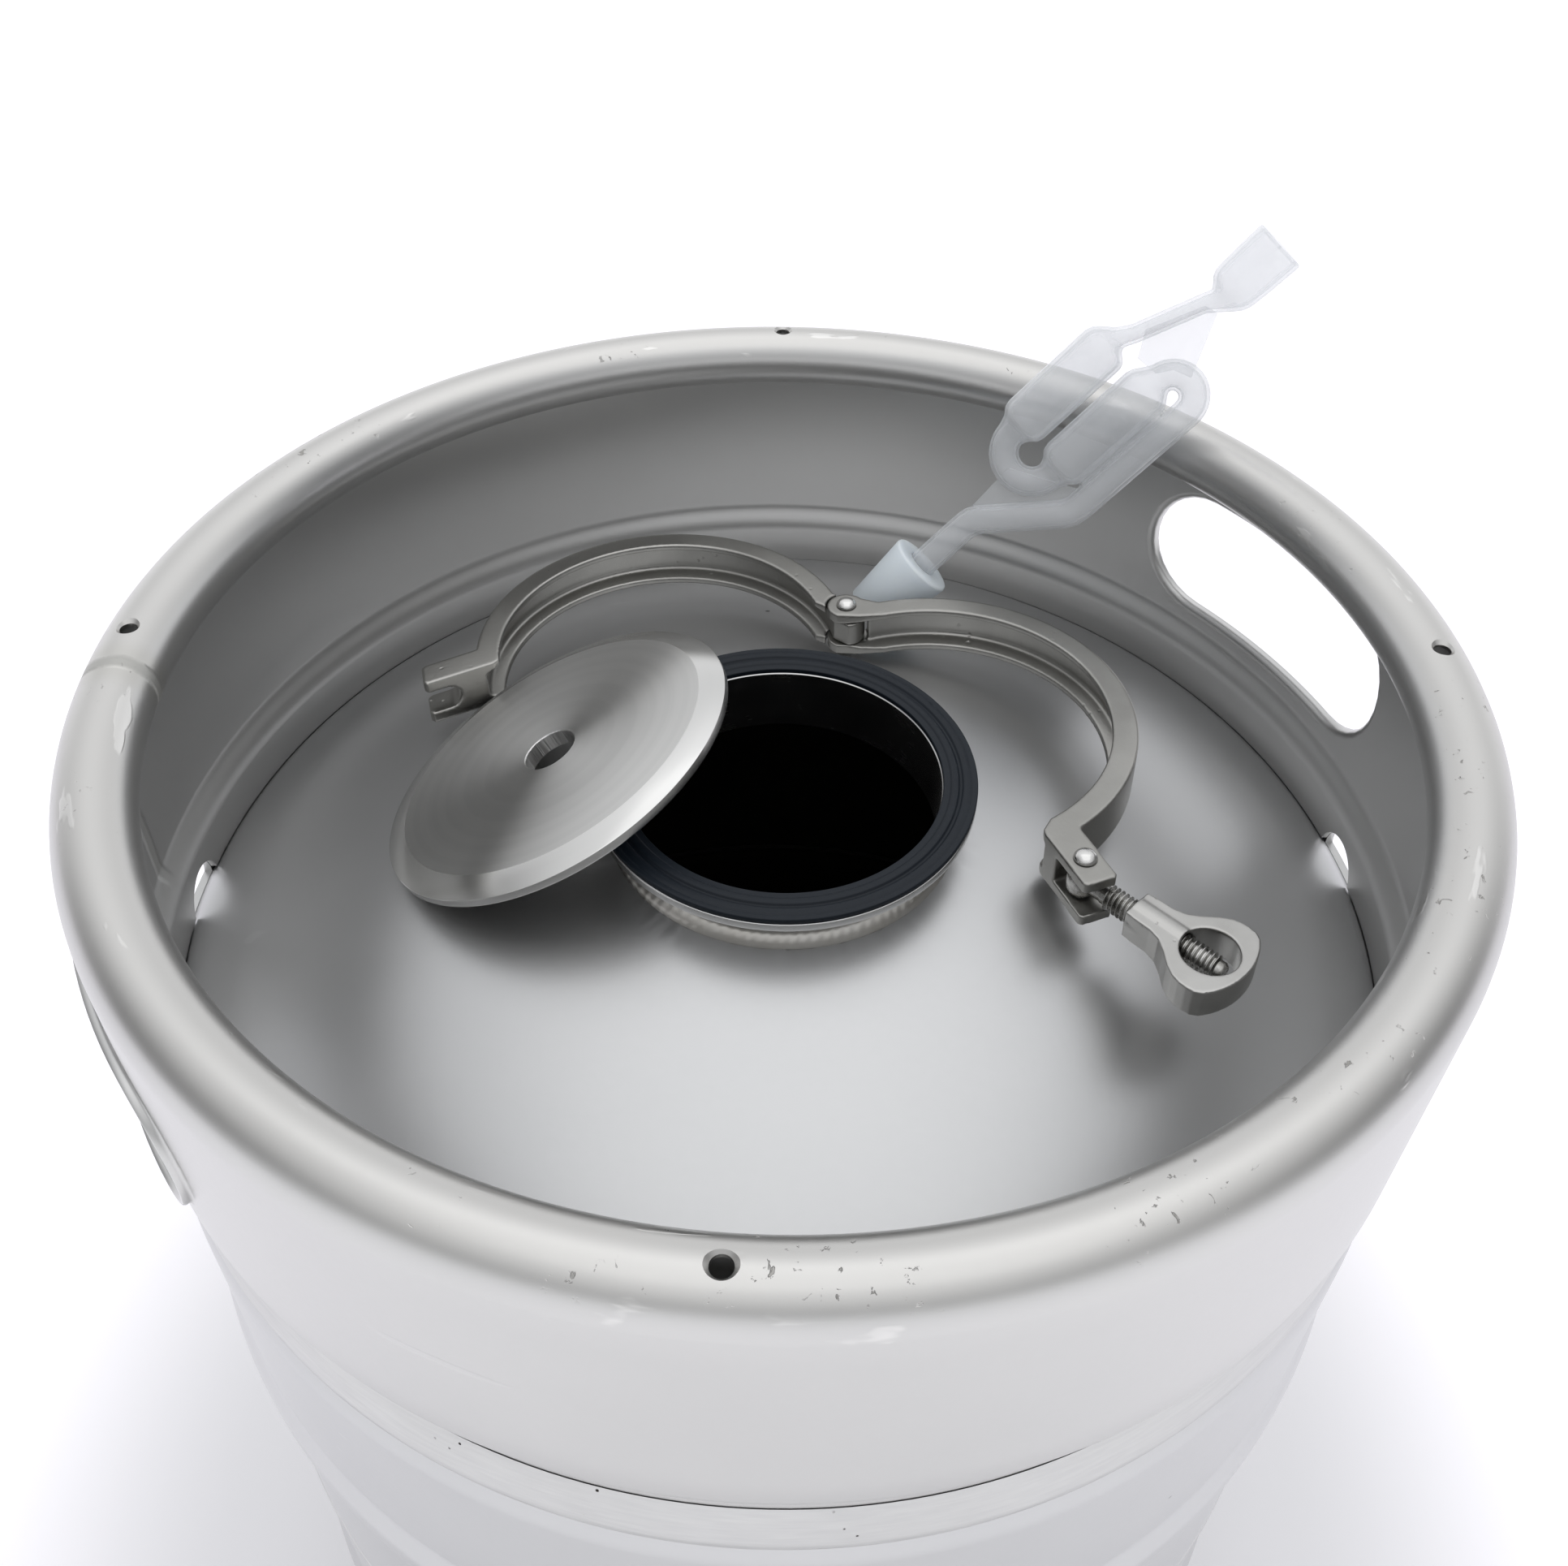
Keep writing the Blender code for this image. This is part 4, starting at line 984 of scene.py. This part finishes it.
def thread(low, high):
    """A ridge that winds along +X: a small wedge carried round by Screw, closed at both ends."""
    root = THREAD_R - 0.95
    wedge = [(root - 0.3, 0.0), (THREAD_R, 0.42 * THREAD_PITCH), (THREAD_R, 0.56 * THREAD_PITCH),
             (root - 0.3, 0.98 * THREAD_PITCH)]
    ridge = line("ridge", [(r, 0.0, low + z) for r, z in wedge + wedge[:1]])
    bpy.ops.mesh.select_all(action="SELECT")
    bpy.ops.mesh.remove_doubles(threshold=0.000001)
    bpy.ops.object.mode_set(mode="OBJECT")
    turns = int((high - low) / THREAD_PITCH) - 1
    shape(ridge, "SCREW", axis="Z", angle=2 * math.pi, steps=32, render_steps=32,
          screw_offset=THREAD_PITCH * MM, iterations=turns)
    bpy.ops.object.mode_set(mode="EDIT")
    bpy.ops.mesh.select_all(action="DESELECT")
    bpy.ops.mesh.select_non_manifold()
    bpy.ops.mesh.fill()
    bpy.ops.mesh.select_all(action="SELECT")
    bpy.ops.mesh.normals_make_consistent(inside=False)
    bpy.ops.object.mode_set(mode="OBJECT")
    core = turned("core", [(0.0, low - 4.8), (2.7, low - 4.8), (2.7, low - 0.6), (root, low - 0.1),
                           (root, high - 0.8), (root - 0.6, high), (0.0, high)], False, 32)
    return settle(joined(ridge, core), Matrix.Rotation(math.pi / 2, 4, "Y"))


def swing_bolt():
    """The eye on its pin, with the threaded shank along +X."""
    hole = RIVET_R + 0.3
    upper = [(EYE_R, 2.2), (EYE_R - 0.4, 3.4), (EYE_R - 1.2, 4.0), (hole + 0.3, 4.0), (hole, 3.7)]
    eye = [(r, -z) for r, z in upper[::-1]] + upper
    bolt = turned("eye", eye, steps=48)
    joined(bolt, thread(8.4, BOLT_LENGTH))
    return smooth(bolt, 40.0)


def wing_nut():
    """A barrel that flares into a fan-shaped wing with a round window; its bore runs along +X."""
    side = [(NUT_START, 5.2), (22.0, 5.5), (27.5, 5.7), (31.0, 6.7), (34.5, 9.2), (38.0, 12.4), (41.0, 14.3),
            (43.5, 15.0), (46.0, 15.1), (48.5, 14.8), (50.6, 13.4)]
    end = arc(31.5, 0.0, 23.4, 28.0, -28.0, 20)
    nut = plate("nut", [(x, -y) for x, y in side] + end[::-1] + side[::-1], -5.0, 5.0)
    barrel = settle(bar("barrel", 5.6, NUT_START + 0.2, 36.0), Matrix.Rotation(math.pi / 2, 4, "Y"))
    cut(nut, barrel, "UNION")
    window = settle(bar("window", 8.3, -9.0, 9.0, 64), Matrix.Translation((43.4 * MM, 0.0, 0.0)))
    cut(nut, window)
    bore = bar("bore", THREAD_R + 0.3, NUT_START - 5.0, 44.0)
    cut(nut, settle(bore, Matrix.Rotation(math.pi / 2, 4, "Y")))
    return cast(nut, 0.3, 8, 0.6)


def build_clamp():
    plane = Matrix.LocRotScale(Vector(CLAMP_HINGE) * MM, Euler(CLAMP_TILT), None)
    casting = clamp_casting()
    pin = shifted([BOLT_PIN], True)[0]
    eared = plane @ Matrix.Rotation(EARED_AZIMUTH, 4, "Z")
    at_pin = eared @ Matrix.Translation((pin[0] * MM, pin[1] * MM, 0.0))
    bolt = at_pin @ Matrix.Rotation(BOLT_SWING - EARED_AZIMUTH, 4, "Z")
    stand_for(smooth(settle(eared_half(), eared), 60.0), "clamp_eared_half", casting)
    slotted = plane @ Matrix.Rotation(SLOTTED_AZIMUTH, 4, "Z")
    stand_for(smooth(settle(slotted_half(), slotted), 60.0), "clamp_slotted_half", casting)
    bright = rivet_steel()
    stand_for(settle(rivet(), plane), "hinge_rivet", bright)
    stand_for(settle(rivet(), at_pin), "bolt_rivet", bright)
    stand_for(settle(swing_bolt(), bolt), "swing_bolt", bolt_steel())
    stand_for(smooth(settle(wing_nut(), bolt), 60.0), "wing_nut", nut_casting())


# ---- stopper and airlock -------------------------------------------------------------------------------
def airlock_route():
    """Centre line of the blown tube, as (across, up, radius): stem, riser, two bulbs and outlet."""
    tube = 5.3
    bulb = 9.1
    stem = [(0.0, -24.0, 4.6), (0.0, 4.0, STEM_R), (0.0, 21.0, STEM_R), (0.4, 24.0, tube), (1.8, 26.6, tube),
            (19.8, 49.8, tube), (21.3, 52.6, tube), (21.8, 56.0, tube)]
    over = [(14.4 + x, 103.9 + y, tube) for x, y in arc(0.0, 0.0, 7.4, 0.0, 172.0, 16)]
    right = [(6.9, 102.2, 7.2), (6.9, 100.6, 8.4), (6.9, 98.4, bulb), (6.9, 80.0, bulb), (6.9, 62.6, bulb),
             (6.9, 60.2, 8.4), (6.9, 58.6, 6.6)]
    under = [(-3.2 + x, 56.5 + y, tube) for x, y in arc(0.0, 0.0, 10.1, -6.0, -174.0, 20)]
    left = [(-13.3, 58.6, 6.6), (-13.3, 60.2, 8.4), (-13.3, 62.6, bulb), (-13.3, 80.0, bulb),
            (-13.3, 97.4, bulb), (-13.3, 99.8, 8.2), (-13.1, 101.8, 6.0)]
    outlet = [(-12.6, 103.6, 4.0), (-11.6, 105.6, 3.5), (-10.0, 108.5, 3.4), (-1.8, 131.2, 3.4),
              (0.2, 134.4, 4.0), (0.7, 136.4, 5.6), (0.9, 138.6, 7.6), (0.9, 141.0, 8.6)]
    cup = [(0.9, 144.0, 8.9), (0.9, 152.0, 9.2), (0.9, 160.3, 9.4)]
    return stem + over + right + under + left + outlet + cup


def blown_tube():
    """The route as one hollow skin, open at the cup."""
    route = airlock_route()
    drawn = bpy.data.curves.new("route", "CURVE")
    drawn.dimensions = "3D"
    drawn.bevel_depth = MM
    drawn.bevel_resolution = 8
    drawn.use_fill_caps = True
    spline = drawn.splines.new("POLY")
    spline.points.add(len(route) - 1)
    for point, (across, up, radius) in zip(spline.points, route):
        point.co = (across * MM, 0.0, up * MM, 1.0)
        point.radius = radius
    carrier = bpy.data.objects.new("route", drawn)
    bpy.context.scene.collection.objects.link(carrier)
    pick(carrier)
    bpy.ops.object.convert(target="MESH")
    tube = bpy.context.object
    bpy.ops.object.mode_set(mode="EDIT")
    bpy.ops.mesh.select_all(action="SELECT")
    bpy.ops.mesh.remove_doubles(threshold=0.00001)
    bpy.ops.mesh.normals_make_consistent(inside=False)
    bpy.ops.object.mode_set(mode="OBJECT")
    shape(cast(tube, 0.55, 8, 0.5), "SOLIDIFY", thickness=BLOWN_WALL * MM, offset=-1.0)
    return cut(tube, settle(bar("mouth", 8.0, 154.0, 172.0), Matrix.Translation((0.9 * MM, 0.0, 0.0))))


def web(outline, half=0.6):
    """A thin flat web between two runs of tube, in the parting plane."""
    piece = plate("web", [(x, z) for x, z in outline], -half, half)
    return settle(piece, Matrix.Rotation(math.pi / 2, 4, "X"))


def build_airlock():
    across = Vector(STEM_AXIS).cross(Vector(AIRLOCK_FACE)) * -1.0
    pose = frame_matrix(STOPPER_TOP, across, STEM_AXIS)
    plastic = airlock_plastic(pose)
    tube = blown_tube()
    joined(tube, web([(-3.6, 28.4), (1.0, 30.5), (17.5, 52.0), (17.0, 60.0), (4.0, 52.0), (-4.5, 47.0),
                      (-4.5, 39.3)]),
           web([(-8.5, 112.0), (-1.0, 131.0), (3.7, 132.2), (14.0, 112.5), (8.0, 110.0), (5.0, 105.0),
                (-3.0, 104.0)]))
    smooth(settle(tube, pose), 60.0)
    stand_for(tube, "airlock", plastic)
    wide, narrow = STOPPER_R
    bore = STEM_R + 0.1
    bung = [(bore, -0.5), (bore + 0.5, 0.0), (wide - 0.9, 0.0), (wide - 0.25, -0.25), (wide, -0.9),
            (narrow + 0.1, -STOPPER_LENGTH + 0.6), (narrow - 0.5, -STOPPER_LENGTH), (bore, -STOPPER_LENGTH)]
    stopper = smooth(settle(turned("bung", bung, steps=96), pose), 50.0)
    stand_for(stopper, "stopper", silicone())


# ---- stage ------------------------------------------------------------------------------------------------
def soft_light():
    """A wide panel over the keg, facing its foot."""
    data = bpy.data.lights.new("overhead", "AREA")
    data.shape = "RECTANGLE"
    data.size, data.size_y = PANEL_SIZE
    data.energy = PANEL_WATTS
    lamp = bpy.data.objects.new("overhead", data)
    bpy.context.scene.collection.objects.link(lamp)
    lamp.location = PANEL_PLACE
    lamp.rotation_euler = (-Vector(PANEL_PLACE)).to_track_quat("-Z", "Y").to_euler()


def build_stage():
    """The floor, the panel and a pale room, brighter above, behind and in front than at the sides."""
    bpy.ops.mesh.primitive_plane_add(size=FLOOR_SIZE, location=(0.0, 0.0, FLOOR_Z))
    floor = bpy.context.object
    floor.name = "floor"
    floor.data.materials.append(pale_floor())
    soft_light()
    world = bpy.data.worlds.new("soft_room")
    bpy.context.scene.world = world
    room = Room(world)
    _, y, z = room.axes()
    front = room.between(0.0 - y, 0.10, 0.80) * room.between(z, 0.02, 0.42, 1.0, 0.22)
    above = room.between(z, 0.28, 0.88)
    behind = room.between(y, 0.05, 0.65) * room.between(z, 0.0, 0.75, 1.0, 0.3)
    room.feed(room.back.inputs["Strength"], 0.22 + above * 0.72 + front * 0.95 + behind * 1.0)
    room.feed(room.back.inputs["Color"], (0.96, 0.97, 0.99, 1.0))


def build_camera():
    data = bpy.data.cameras.new("camera")
    data.lens = LENS
    data.sensor_width = 36.0
    data.shift_y = LENS_SHIFT
    data.clip_start = 0.01
    camera = bpy.data.objects.new("camera", data)
    bpy.context.scene.collection.objects.link(camera)
    camera.matrix_world = (Matrix.Translation(CAMERA_PLACE)
                           @ Matrix.Rotation(math.radians(CAMERA_HEADING), 4, "Z")
                           @ Matrix.Rotation(math.radians(90.0 - CAMERA_DIP), 4, "X")
                           @ Matrix.Rotation(math.radians(CAMERA_ROLL), 4, "Z"))
    bpy.context.scene.camera = camera


build_camera()
build_stage()
build_keg()
build_ferrule()
build_gasket()
build_cap()
build_clamp()
build_airlock()
bpy.context.scene.view_settings.view_transform = "Standard"
